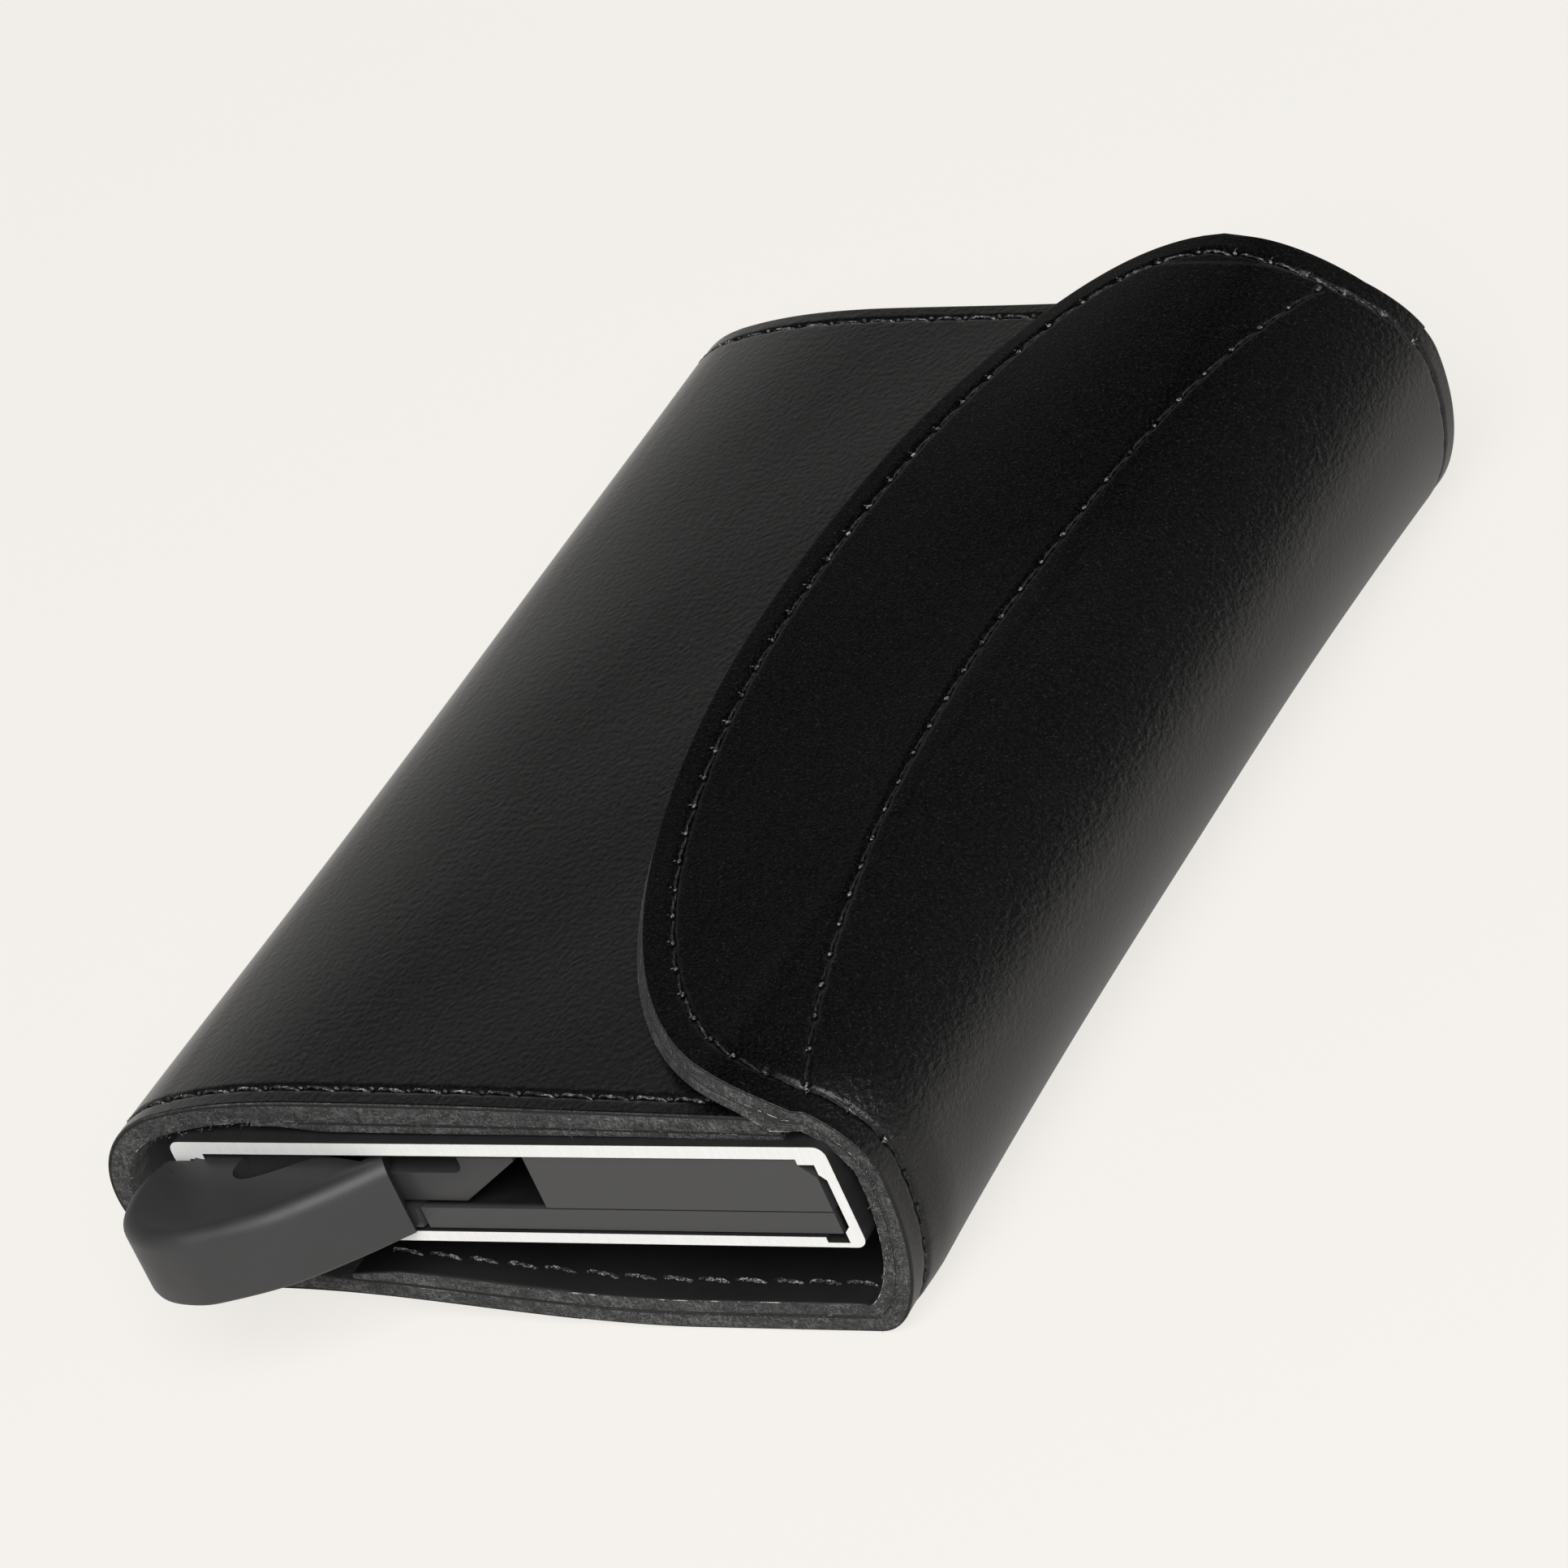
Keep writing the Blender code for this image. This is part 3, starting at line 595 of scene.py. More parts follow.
def wrap_seam(parts, y, depth=0.0):
    """A seam across the wrap at one station, on the outer face or at a depth under it."""
    points, normals = wrap_line(parts, y)
    side = 1.0 if depth == 0.0 else -1.0
    return Seam(points - normals * depth, normals * side)


def flap_edge_seam():
    """Up the spine's lever end, round the flap inside its edge, and down the mouth end."""
    outline = flap_outline()
    along = unit(np.gradient(outline, axis=0))
    inset = outline + np.stack([along[:, 1], -along[:, 0]], axis=1) * FLAP_SEAM_INSET
    corner = np.array([upper_part(np.array(HALF_WRAP), CREASE)[0], HALF_WRAP])
    far = outline[-1]
    across = unit(corner - far)
    inward = np.array([across[1], -across[0]])
    inset = inset[(inset - far) @ inward > FLAP_SEAM_INSET]
    far_run = far + inward * FLAP_SEAM_INSET
    begin = (inset[-1] - far_run) @ across
    stop = np.linalg.norm(corner - far) - 1.0
    far_row = far_run + np.linspace(begin, stop, 60)[1:, None] * across
    x, y = np.concatenate([inset, far_row]).T
    turns = [(upper_part, np.linspace(SPINE_JOIN, CREASE, 40))]
    near, near_normals = wrap_line(turns, -HALF_WRAP + SPINE_SEAM_INSET)
    away, away_normals = wrap_line(turns, HALF_WRAP - SPINE_SEAM_INSET)
    path = np.concatenate([near, on_flap(x, y), away[::-1]])
    normals = np.concatenate([near_normals, flap_normal(x, y), away_normals[::-1]])
    return Seam(path, normals, FLAP_PITCH)


def flap_inner_seam():
    y = np.linspace(-HALF_WRAP + FLAP_SEAM_INSET, HALF_WRAP - FLAP_SEAM_INSET - 0.5, 200)
    x = inner_seam_x(y)
    return Seam(on_flap(x, y), flap_normal(x, y), FLAP_PITCH)


def press_seams(points, seams, margin):
    """Sinks a groove along each seam, a dimple at each needle hole, and the margin beside it."""
    flat = points.reshape(-1, 3)
    depth = np.zeros(len(flat))
    for seam in seams:
        groove = SEAM_DEPTH * np.exp(-(nearest(flat, seam.path) / SEAM_WIDTH) ** 2)
        hole = HOLE_DEPTH * np.exp(-(nearest(flat, seam.holes) / HOLE_WIDTH) ** 2)
        depth = np.maximum(depth, groove + hole)
    sink = depth.reshape(points.shape[:2]) + MARGIN_DROP * margin - waviness(points)
    return points - surface_normals(points) * sink[..., None]


def end_margin(points, inset):
    """1 between an end seam and the wrap's end, and 0 inside the seam."""
    inside = np.abs(points[..., 1]) - HALF_WRAP + inset
    return smooth((inside + MARGIN_FADE / 2) / MARGIN_FADE)


def flap_margin(points):
    """1 between the flap's edge seam and its edge, and 0 inside the seam."""
    plan = flap_outline()
    outline = np.column_stack([plan, np.zeros(len(plan))])
    flat = points.reshape(-1, 3) * np.array([1.0, 1.0, 0.0])
    inside = nearest(flat, outline).reshape(points.shape[:2])
    by_edge = smooth((FLAP_SEAM_INSET + MARGIN_FADE / 2 - inside) / MARGIN_FADE)
    return np.maximum(by_edge, end_margin(points, SPINE_SEAM_INSET))


# Leather sheets

def leather_sheet(name, points, thickness, surfaces, joined, rounding=EDGE_ROUND, flare=None):
    """A grid shaped to the points, thickened inwards by one thickness or one for each column, with
    its cut edges rounded over. Joined columns aren't cut edges. A flare moves the inner rim of the
    last column outwards."""
    rows, columns = points.shape[:2]
    depth = np.broadcast_to(np.asarray(thickness, float), columns)
    deselect()
    bpy.ops.mesh.primitive_grid_add(x_subdivisions=columns - 1, y_subdivisions=rows - 1, size=1.0)
    sheet = name_new(name)
    sheet.data.vertices.foreach_set("co", (points * MM).astype(np.float32).ravel())
    uncut = np.zeros((rows, columns), np.int32)
    uncut[:, joined] = 1
    store(sheet.data, "joined", "INT", "POINT", uncut.ravel())
    finish_with(sheet, *surfaces)
    full = sheet.vertex_groups.new(name="full")
    for column, share in enumerate(depth / depth.max()):
        full.add(list(range(column, rows * columns, columns)), share, "REPLACE")
    apply_modifier(sheet, "SOLIDIFY", thickness=depth.max() * MM, vertex_group="full", offset=-1.0,
                   use_even_offset=False, material_offset=1, material_offset_rim=2)
    sheet.vertex_groups.clear()
    if flare is not None:
        for row in range(rows):
            inner = rows * columns + row * columns + columns - 1
            sheet.data.vertices[inner].co += Vector(flare[row]) * MM
    round_cut_edges(sheet, rounding)
    shade(sheet, 40.0)
    mark_depth(sheet, points, depth)
    return sheet


def mark_depth(sheet, points, depth):
    """Stores how deep each point lies in its layer: 0 at the outer face and 1 at the inner one."""
    tree = tree_of(points.reshape(-1, 3))
    shares = np.zeros(len(sheet.data.vertices), np.float32)
    for vertex in sheet.data.vertices:
        _, index, distance = tree.find(vertex.co / MM)
        shares[vertex.index] = min(1.0, distance / depth[index % len(depth)])
    store(sheet.data, "depth", "FLOAT", "POINT", shares)


def round_cut_edges(sheet, rounding):
    mesh = sheet.data
    joined = np.zeros(len(mesh.vertices), np.int32)
    mesh.attributes["joined"].data.foreach_get("value", joined)
    rim = {}
    for face in mesh.polygons:
        for key in face.edge_keys:
            rim.setdefault(key, set()).add(face.material_index)
    weights = np.zeros(len(mesh.edges), np.float32)
    for edge in mesh.edges:
        first, second = edge.vertices
        kinds = rim[edge.key]
        if len(kinds) > 1 and 2 in kinds and not (joined[first] and joined[second]):
            weights[edge.index] = 1.0
    store(mesh, "bevel_weight_edge", "FLOAT", "EDGE", weights)
    apply_modifier(sheet, "BEVEL", limit_method="WEIGHT", width=rounding * MM, segments=3)


def under(points, depth):
    """A face at a depth under another: one depth, or one for each column."""
    depth = np.broadcast_to(np.asarray(depth, float), points.shape[1])
    return points - surface_normals(points) * depth[None, :, None]


def coarser(points, row_step, column_step):
    """Every few rows and columns of a grid, with its end rows and columns kept."""
    kept = [np.unique(np.append(np.arange(0, count, step), count - 1))
            for count, step in zip(points.shape, (row_step, column_step))]
    return points[np.ix_(*kept)]


# Stitches and loose hairs

class Strands:
    """Tubes gathered into one mesh, each point with how light it is, which on stitches stands for
    worn fibres and painted glints.
    """

    def __init__(self):
        self.points, self.faces, self.lightness = [], [], []

    def add_tube(self, centres, side, normal, radii, lightness, sides):
        rings = len(centres)
        base = len(self.points)
        for corner in range(sides):
            angle = 2.0 * math.pi * corner / sides
            spoke = math.cos(angle) * side + math.sin(angle) * normal
            self.points.extend(centres + np.asarray(radii)[:, None] * spoke)
            self.lightness.extend(np.broadcast_to(lightness, rings))
        starts = [base + corner * rings for corner in range(sides)]
        for here, after in zip(starts, starts[1:] + starts[:1]):
            for ring in range(rings - 1):
                self.faces.append((here + ring, after + ring, after + ring + 1, here + ring + 1))
        self.faces.append(starts[::-1])
        self.faces.append([start + rings - 1 for start in starts])

    def make(self, name):
        mesh = bpy.data.meshes.new(name)
        mesh.from_pydata((np.array(self.points) * MM).tolist(), [], self.faces)
        store(mesh, "lightness", "FLOAT", "POINT", np.array(self.lightness, np.float32))
        piece = bpy.data.objects.new(name, mesh)
        bpy.context.scene.collection.objects.link(piece)
        make_active(piece)
        face_outwards()
        shade(piece, 80.0)
        return piece


def keep_above_floor(centres, radius):
    centres[:, 2] = np.maximum(centres[:, 2], radius)


def stitch_row(name, seam, rng, lift, light, knot, sink=0.3, girth=STITCH_GIRTH, tails=False):
    """Two twisted plies for each stitch, with their ends down the holes, and a knot at each hole.
    How light the thread is, for worn fibres and painted glints, is one number, or one for each
    stitch."""
    strands = Strands()
    share = np.linspace(0.0, 1.0, 8)
    both_ways = 2.0 * share - 1.0
    arch = 1.0 - np.abs(both_ways) ** 5.0
    radii = np.full(len(share), girth * PLY_RADIUS)
    light = np.broadcast_to(light, seam.count)
    for number in range(seam.count):
        middle = (number + 0.5) * seam.pitch
        reach = STITCH_LENGTH * (0.97 + 0.06 * rng.random())
        point, along, normal = seam.at(middle + (share - 0.5) * reach)
        side = np.cross(along, normal)
        start = rng.random() * math.pi
        height = lift - sink + sink * arch + 0.04 * (rng.random() - 0.5)
        for ply in (0.0, math.pi):
            turn = start + ply + share * PLY_TWIST * math.pi
            up = height + girth * PLY_OFFSET * np.sin(turn)
            out = STITCH_SLANT * both_ways + girth * PLY_OFFSET * np.cos(turn)
            centre = point + normal * up[:, None] + side * out[:, None]
            keep_above_floor(centre, girth * PLY_RADIUS)
            # Painted glints: light flecks at random along each ply, together with worn fibres.
            lightness = light[number] * np.array([rng.uniform(0.1, 1.0) ** 2 * 2.4 for _ in share])
            strands.add_tube(centre, side, normal, radii, lightness, 4)
    if knot > 0.0:
        add_knots(strands, seam, lift, knot, tails, rng)
    return strands.make(name)


def add_knots(strands, seam, lift, light, tails, rng):
    share = np.linspace(0.0, 1.0, 5)
    width = KNOT_RADIUS * np.sqrt(np.maximum(0.08, 1.0 - (2.0 * share - 1.0) ** 2))
    for number in range(seam.count + 1):
        point, along, normal = seam.at(np.full(len(share), number * seam.pitch))
        across = np.cross(along, normal)
        way = unit(along * rng.uniform(0.5, 1.0) + across * rng.uniform(0.1, 0.7))
        length = KNOT_LENGTH * rng.uniform(0.7, 1.25)
        run = ((share - 0.5) * length)[:, None]
        centre = point + way * run + normal * (lift + rng.uniform(-0.08, 0.06))
        keep_above_floor(centre, KNOT_RADIUS)
        # Painted glints: each knot at a needle hole is coloured light.
        lightness = light * rng.uniform(0.5, 1.3)
        strands.add_tube(centre, np.cross(way, normal), normal, width, lightness, 5)
        if tails:
            back = KNOT_TAIL * rng.uniform(0.6, 1.1)
            tail = point + across * (0.7 * run - back) + along * rng.uniform(-0.15, 0.1)
            tail = tail + normal * (0.02 + 0.04 * rng.random())
            strands.add_tube(tail, along, normal, 0.5 * width, 0.45 * lightness, 4)


def edge_fibres(name, edges, rng):
    """Loose hairs that stand out of cut edges. An edge is its path, normals, outward way,
    thickness and number of hairs."""
    strands = Strands()
    share = np.array([0.0, 0.5, 1.0])
    for path, normals, outward, thickness, count in edges:
        for _ in range(count):
            index = rng.randrange(len(path) - 1)
            part = rng.random()
            root = path[index] * (1 - part) + path[index + 1] * part
            root = root - normals[index] * thickness * rng.uniform(*HAIR_ROOT)
            along = unit(path[index + 1] - path[index])
            out = outward[index] * (0.1 + 0.4 * rng.random())
            way = out + along * rng.uniform(-1.2, 1.2) - normals[index] * rng.uniform(-0.4, 0.4)
            way = unit(way)
            bend = along * rng.uniform(-0.6, 0.6) - normals[index] * rng.uniform(-0.3, 0.3)
            length = rng.uniform(*HAIR_LENGTH)
            curved = np.outer(share, way) + np.outer(share ** 2, bend)
            centre = root - outward[index] * 0.08 + length * curved
            keep_above_floor(centre, 0.03)
            side = unit(np.cross(way, bend + 0.01))
            radii = rng.uniform(*HAIR_RADIUS) * HAIR_TAPER
            strands.add_tube(centre, side, np.cross(way, side), radii, rng.random() ** 2, 3)
    return strands.make(name)


# Materials

def grey(level, blue=None):
    return level, level, level if blue is None else blue, 1.0


class Nodes:
    """Adds nodes to a tree. A socket gets a value, or a link where an output is given."""

    def __init__(self, tree):
        self.tree = tree

    def connect(self, socket, value):
        if isinstance(value, bpy.types.NodeSocket):
            self.tree.links.new(value, socket)
        else:
            socket.default_value = value

    def fill(self, node, **sockets):
        for name, value in sockets.items():
            self.connect(node.inputs[name.replace("_", " ")], value)

    def add(self, kind, settings=None, **sockets):
        made = self.tree.nodes.new("ShaderNode" + kind)
        for name, value in (settings or {}).items():
            setattr(made, name, value)
        self.fill(made, **sockets)
        return made

    def math(self, operation, *values, kind="Math"):
        made = self.add(kind, {"operation": operation})
        for socket, value in zip(made.inputs, values):
            self.connect(socket, value)
        return made.outputs[0]

    def times(self, first, second):
        return self.math("MULTIPLY", first, second)

    def mix(self, share, first, second):
        """A colour between two others."""
        made = self.add("Mix", {"data_type": "RGBA"})
        for index, value in ((0, share), (6, first), (7, second)):
            self.connect(made.inputs[index], value)
        return made.outputs[2]

    def between(self, value, low, high, to_low=0.0, to_high=1.0):
        """A smooth step from one result to another, as a value goes from low to high."""
        made = self.add("MapRange", {"interpolation_type": "SMOOTHSTEP"}, Value=value,
                        From_Min=low, From_Max=high, To_Min=to_low, To_Max=to_high)
        return made.outputs["Result"]

    def mottle(self, vector, scale, detail=2.0, roughness=0.5, distortion=0.0):
        made = self.add("TexNoise", Vector=vector, Scale=scale, Detail=detail,
                        Roughness=roughness, Distortion=distortion)
        return made.outputs[0]

    def stretched(self, vector, scale):
        return self.add("Mapping", {"vector_type": "POINT"}, Vector=vector, Scale=scale).outputs[0]

    def streaks(self, vector, scales, detail=2.0, roughness=0.5):
        """Noise with its own scale along each axis."""
        return self.mottle(self.stretched(vector, scales), 1.0, detail, roughness)

    def bump(self, height, depth, strength, below=None):
        """A bump of a depth in millimetres, on top of another bump if one is given."""
        made = self.add("Bump", Strength=strength, Distance=depth * MM, Height=height)
        if below is not None:
            self.connect(made.inputs["Normal"], below)
        return made.outputs[0]

    def axes(self, vector):
        return self.add("SeparateXYZ", Vector=vector).outputs

    def attribute(self, name):
        return self.add("Attribute", {"attribute_name": name}).outputs["Fac"]


class Finish(Nodes):
    """A material with one Principled shader, and the piece's own coordinates."""

    def __init__(self, name, **sockets):
        self.surface = bpy.data.materials.new(name)
        self.surface.use_nodes = True
        super().__init__(self.surface.node_tree)
        self.tree.nodes.clear()
        self.shader = self.add("BsdfPrincipled", **sockets)
        self.output = self.add("OutputMaterial", Surface=self.shader.outputs[0])
        self.vector = self.add("TexCoord").outputs["Object"]

    def group(self, tree, size):
        """The outputs of a grain group at a size in millimetres."""
        return self.add("Group", {"node_tree": tree}, Vector=self.vector, Size=size).outputs

    def done(self, **sockets):
        self.fill(self.shader, **sockets)
        return self.surface


def new_grain(name, *results):
    """A node group that takes a place and a grain size, and gives named values."""
    tree = bpy.data.node_groups.new(name, "ShaderNodeTree")
    tree.interface.new_socket("Vector", in_out="INPUT", socket_type="NodeSocketVector")
    tree.interface.new_socket("Size", in_out="INPUT", socket_type="NodeSocketFloat")
    for label in results:
        tree.interface.new_socket(label, in_out="OUTPUT", socket_type="NodeSocketFloat")
    given = tree.nodes.new("NodeGroupInput").outputs
    grain = Nodes(tree)
    scale = grain.math("DIVIDE", 1.0 / MM, given["Size"])
    return grain, given["Vector"], scale, tree.nodes.new("NodeGroupOutput")


def pebble_grain():
    """Fine pebbles of a leather or moulded face, with small bright specks."""
    grain, vector, scale, output = new_grain("fine_pebble", "Height", "Speck")
    cells = grain.add("TexVoronoi", {"feature": "F1"}, Vector=vector, Scale=scale)
    fine = grain.mottle(vector, grain.times(scale, 2.1), 2.0, 0.6)
    speck = grain.mottle(vector, grain.times(scale, 1.3), 1.0)
    grain.fill(output, Height=grain.math("MULTIPLY_ADD", cells.outputs["Distance"], -0.7, fine),
               Speck=grain.between(speck, 0.62, 0.75))
    return grain.tree


def fibre_grain():
    """Cut leather: matted fibres, with light flecks."""
    grain, vector, scale, output = new_grain("matted_fibres", "Height", "Light", "Fleck")
    layers = [grain.mottle(grain.stretched(vector, way), scale, 3.0, 0.65, 1.5)
              for way in ((0.4, 1.0, 1.3), (1.1, 1.0, 0.45))]
    height = grain.math("MAXIMUM", *layers)
    fleck = grain.mottle(vector, grain.times(scale, 0.9), 2.0, 0.6)
    grain.fill(output, Height=height, Light=grain.between(height, 0.42, 0.72),
               Fleck=grain.between(fleck, 0.66, 0.74))
    return grain.tree


PEBBLE = pebble_grain()
FIBRES = fibre_grain()


def grain_leather(name, shine, relief=0.45, ripple=0.0, ripple_scale=1500.0, ripple_detail=2.0):
    """Smooth black leather with a fine grain, and pressed wrinkles where the spine bends. A ripple
    spreads faint wrinkles over the rest of it."""
    leather = Finish(name, Roughness=0.32, Specular_IOR_Level=shine)
    height, speck = leather.group(PEBBLE, 0.28)
    x, _, z = leather.axes(leather.vector)
    wave = leather.mottle(leather.vector, 160.0)
    bent = leather.math("MULTIPLY_ADD", wave, WRINKLE_DRIFT, leather.vector, kind="VectorMath")
    ripples = leather.streaks(bent, (2300.0, ripple_scale, 2300.0), ripple_detail, 0.55)
    bend = leather.times(leather.between(z, *WRINKLE_TOP), leather.between(z, *WRINKLE_FOOT, 0.15))
    bend = leather.times(bend, leather.between(x, *WRINKLE_SIDE))
    wrinkles = leather.times(leather.math("SUBTRACT", ripples, 0.5),
                             leather.math("ADD", bend, ripple))
    colour = leather.mix(leather.between(height, -0.1, 0.55), grey(0.001), grey(0.0058, 0.006))
    colour = leather.mix(leather.times(speck, 0.45), colour, grey(0.034, 0.036))
    tone = leather.mottle(leather.vector, 60.0, 1.0)
    dullness = leather.math("ADD", leather.between(tone, 0.2, 0.8, 0.29, 0.315),
                            leather.between(x, *DULL_SIDE, 0.0, 0.1))
    pebbled = leather.bump(height, 0.035, relief)
    return leather.done(Base_Color=colour, Roughness=dullness,
                        Normal=leather.bump(wrinkles, 0.15, 0.9, pebbled))


def facing_leather():
    """The plainer, flatter leather of the facings."""
    facing = Finish("facing_leather", Roughness=0.55)
    height, _ = facing.group(PEBBLE, 0.4)
    tone = facing.mottle(facing.vector, 90.0, 3.0)
    return facing.done(Base_Color=facing.mix(tone, grey(0.005, 0.0052), grey(0.011, 0.0112)),
                       Roughness=facing.between(tone, 0.2, 0.8, 0.5, 0.62),
                       Normal=facing.bump(height, 0.03, 0.5))


def flesh_side():
    """The napped back of a hide."""
    flesh = Finish("flesh_side", Roughness=0.95, Sheen_Weight=0.15)
    height, light, _ = flesh.group(FIBRES, 0.35)
    return flesh.done(Base_Color=flesh.mix(light, grey(0.008), grey(0.022)),
                      Normal=flesh.bump(height, 0.12, 0.8))


def cut_leather():
    """A raw cut edge: grey matted fibres with a thin dark band just under the outer face, and
    specks of glue below.
    """
    cut = Finish("cut_leather", Roughness=0.9)
    height, light, fleck = cut.group(FIBRES, 0.34)
    depth = cut.attribute("depth")
    rubbed = cut.between(cut.streaks(cut.vector, (420.0, 420.0, 900.0), 3.0), 0.35, 0.65, 0.45, 1.0)
    # A thin dark band just under the outer face, darker than the fibres below it.
    skin = cut.times(cut.between(depth, 0.04, 0.09), cut.between(depth, 0.2, 0.15))
    patch = cut.streaks(cut.vector, (190.0, 60.0, 60.0))
    fine = cut.streaks(cut.vector, (1500.0, 600.0, 2600.0))
    glue = cut.times(cut.between(patch, 0.5, 0.55), cut.between(fine, 0.45, 0.6))
    glue = cut.times(glue, cut.between(depth, 0.9, 0.95))
    colour = cut.mix(light, grey(0.012), grey(0.13))
    colour = cut.mix(rubbed, grey(0.008), colour)
    colour = cut.mix(cut.times(fleck, 0.6), colour, grey(0.28))
    colour = cut.mix(skin, colour, grey(0.004))
    colour = cut.mix(glue, colour, grey(0.55, 0.54))
    return cut.done(Base_Color=colour, Normal=cut.bump(height, 0.28, 1.0))


def spun_thread():
    """Black thread whose plies show lighter where they are worn and where glints are painted into
    the colour.
    """
    thread = Finish("spun_thread", Roughness=0.75, Specular_IOR_Level=0.25)
    twist = thread.mottle(thread.vector, 5200.0, 2.0, 0.6)
    share = thread.times(thread.attribute("lightness"), thread.between(twist, 0.42, 0.62))
    return thread.done(Base_Color=thread.mix(share, grey(0.008), grey(0.3)),
                       Normal=thread.bump(twist, 0.06, 0.8))


def hair_fibre():
    hair = Finish("hair_fibre", Roughness=0.8)
    tone = hair.mottle(hair.vector, 2400.0, 1.0)
    share = hair.times(hair.attribute("lightness"), hair.between(tone, 0.3, 0.7, 0.5, 1.0))
    return hair.done(Base_Color=hair.mix(share, grey(0.03), grey(0.28)))


def moulded_plastic(name, level, blue, roughness, shade_inside=False):
    """Matt moulded plastic with a fine spark texture. With shade inside, faces deeper than the
    case's mouth get painted shade: near black.
    """
    plastic = Finish(name, Roughness=roughness)
    height, _ = plastic.group(PEBBLE, 0.16)
    tone = plastic.mottle(plastic.vector, 240.0, 4.0, 0.6)
    colour = plastic.mix(tone, *[grey(share * level, share * blue) for share in (0.82, 1.18)])
    if shade_inside:
        # Painted shade: deeper than the case's mouth the plastic is painted near black, standing in
        # for the shadow inside the slot.
        _, y, _ = plastic.axes(plastic.vector)
        painted_deep_shade = plastic.between(y, (CASE_LOW.y + 0.3) * MM, (CASE_LOW.y + 0.9) * MM)
        colour = plastic.mix(painted_deep_shade, colour, grey(0.002))
    dullness = plastic.between(tone, 0.2, 0.8, roughness - 0.06, roughness + 0.06)
    return plastic.done(Base_Color=colour, Roughness=dullness,
                        Normal=plastic.bump(height, 0.012, 0.6))


def anodised_case():
    """Black anodised tube, bright where its ends are cut."""
    case = Finish("anodised_case")
    _, y, _ = case.axes(case.vector)
    cut = case.math("MAXIMUM", case.math("LESS_THAN", y, (CASE_LOW.y + 0.03) * MM),
                    case.math("GREATER_THAN", y, (CASE_HIGH.y - 0.03) * MM))
    drawn = case.streaks(case.vector, (2600.0, 90.0, 2600.0), 3.0)
    sawn = case.streaks(case.vector, (4200.0, 1.0, 260.0), 3.0)
    black = case.mix(drawn, grey(0.014, 0.0145), grey(0.022, 0.0225))
    bright = case.mix(sawn, grey(0.68, 0.67), grey(0.8, 0.79))
    rough = case.math("MULTIPLY_ADD", cut, 0.25, case.between(drawn, 0.2, 0.8, 0.32, 0.42))
    return case.done(Base_Color=case.mix(cut, black, bright), Metallic=case.times(cut, 0.2),
                     Roughness=rough, Normal=case.bump(case.mix(cut, drawn, sawn), 0.006, 0.5))


def bright_steel():
    steel = Finish("turned_steel", Metallic=1.0)
    rings = steel.streaks(steel.vector, (900.0, 900.0, 5200.0))
    return steel.done(Base_Color=steel.mix(rings, grey(0.5), grey(0.68, 0.67)),
                      Roughness=steel.between(rings, 0.2, 0.8, 0.22, 0.38))


def foam_tape():
    tape = Finish("foam_tape", Roughness=0.95)
    cells = tape.mottle(tape.vector, 2600.0, 3.0)
    return tape.done(Base_Color=tape.mix(cells, grey(0.02), grey(0.05)),
                     Normal=tape.bump(cells, 0.08, 0.7))


GRAIN = grain_leather("front_leather", FRONT_SHINE, 0.02, 0.16, 2000.0, 0.0)
SPINE_GRAIN = grain_leather("spine_leather", SPINE_SHINE)
FLAP_GRAINS = [grain_leather(f"flap_leather_{step}", SHINE_LEAST + SHINE_RISE * step)
               for step in range(SHINE_STEPS)]
FACING = facing_leather()
FLESH = flesh_side()
CUT = cut_leather()
THREAD = spun_thread()
HAIR = hair_fibre()


# Assembly of the leather wrap

FOLD_BLEND = {"a": "case", "b": "back", "start": (0, 0, 12.0 * MM), "end": (0, 0, 5.6 * MM)}
SPINE_BLEND = {"a": "back", "b": "spine", "start": (0, 0, 7.0 * MM), "end": (0, 0, 13.0 * MM)}
FLAP_BLEND = {"a": "spine", "b": "flap", "start": (0.0330, 0, 0.0185), "end": (0.0272, 0, 0.0225)}


def settle(piece, bend, slot, nodes, *surfaces):
    """Gives a soft piece its finish, moves its placing into its mesh and hides the nodes it stands
    for. The bend across a joint is not used.
    """
    if surfaces:
        finish_with(piece, *surfaces)
    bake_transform(piece)
    if nodes:
        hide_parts(*nodes)


def pressed_face(parts, inset):
    """A face of the wrap before and after its end seams are pressed in, and those seams."""
    plain = wrap_points(parts, wrap_stations(inset))
    seams = [wrap_seam(parts, end * (HALF_WRAP - inset)) for end in (-1, 1)]
    return plain, press_seams(plain, seams, end_margin(plain, inset)), seams


def end_rows(name, seams, bend, rng, **stitches):
    for end, seam in zip(("near", "far"), seams):
        row = stitch_row(f"{name}_stitches_{end}", seam, rng, **stitches)
        settle(row, bend, "black_thread", [f"{name}_thread_{end}"], THREAD)


def inside_rows(name, parts, bend, rng):
    """The stitches that show on the inner face of the back, near both ends."""
    depth = BACK_SKIN + GLUE + BACK_FACING
    for end, way in (("near", -1), ("far", 1)):
        seam = wrap_seam(parts, way * (HALF_WRAP - INSIDE_SEAM_INSET), depth)
        row = stitch_row(f"{name}_inner_stitches_{end}", seam, rng,
                         lift=0.15, light=0.65, knot=0.0, sink=0.22, girth=1.25)
        settle(row, bend, "black_thread", [], THREAD)


def end_edge(points, row, thickness, count):
    """The cut edge at the lever end, row -1, or at the mouth end, row 0, and its count of hairs."""
    outward = np.tile((0, -1 if row else 1, 0), (points.shape[1], 1))
    return points[row], surface_normals(points)[row], outward, thickness, count


def end_edges(points, thickness, counts):
    return [end_edge(points, row, thickness, count) for row, count in zip((-1, 0), counts)]


def add_hairs(name, edges, bend, rng):
    settle(edge_fibres(f"{name}_hairs", edges, rng), bend, "black_leather", [], HAIR)


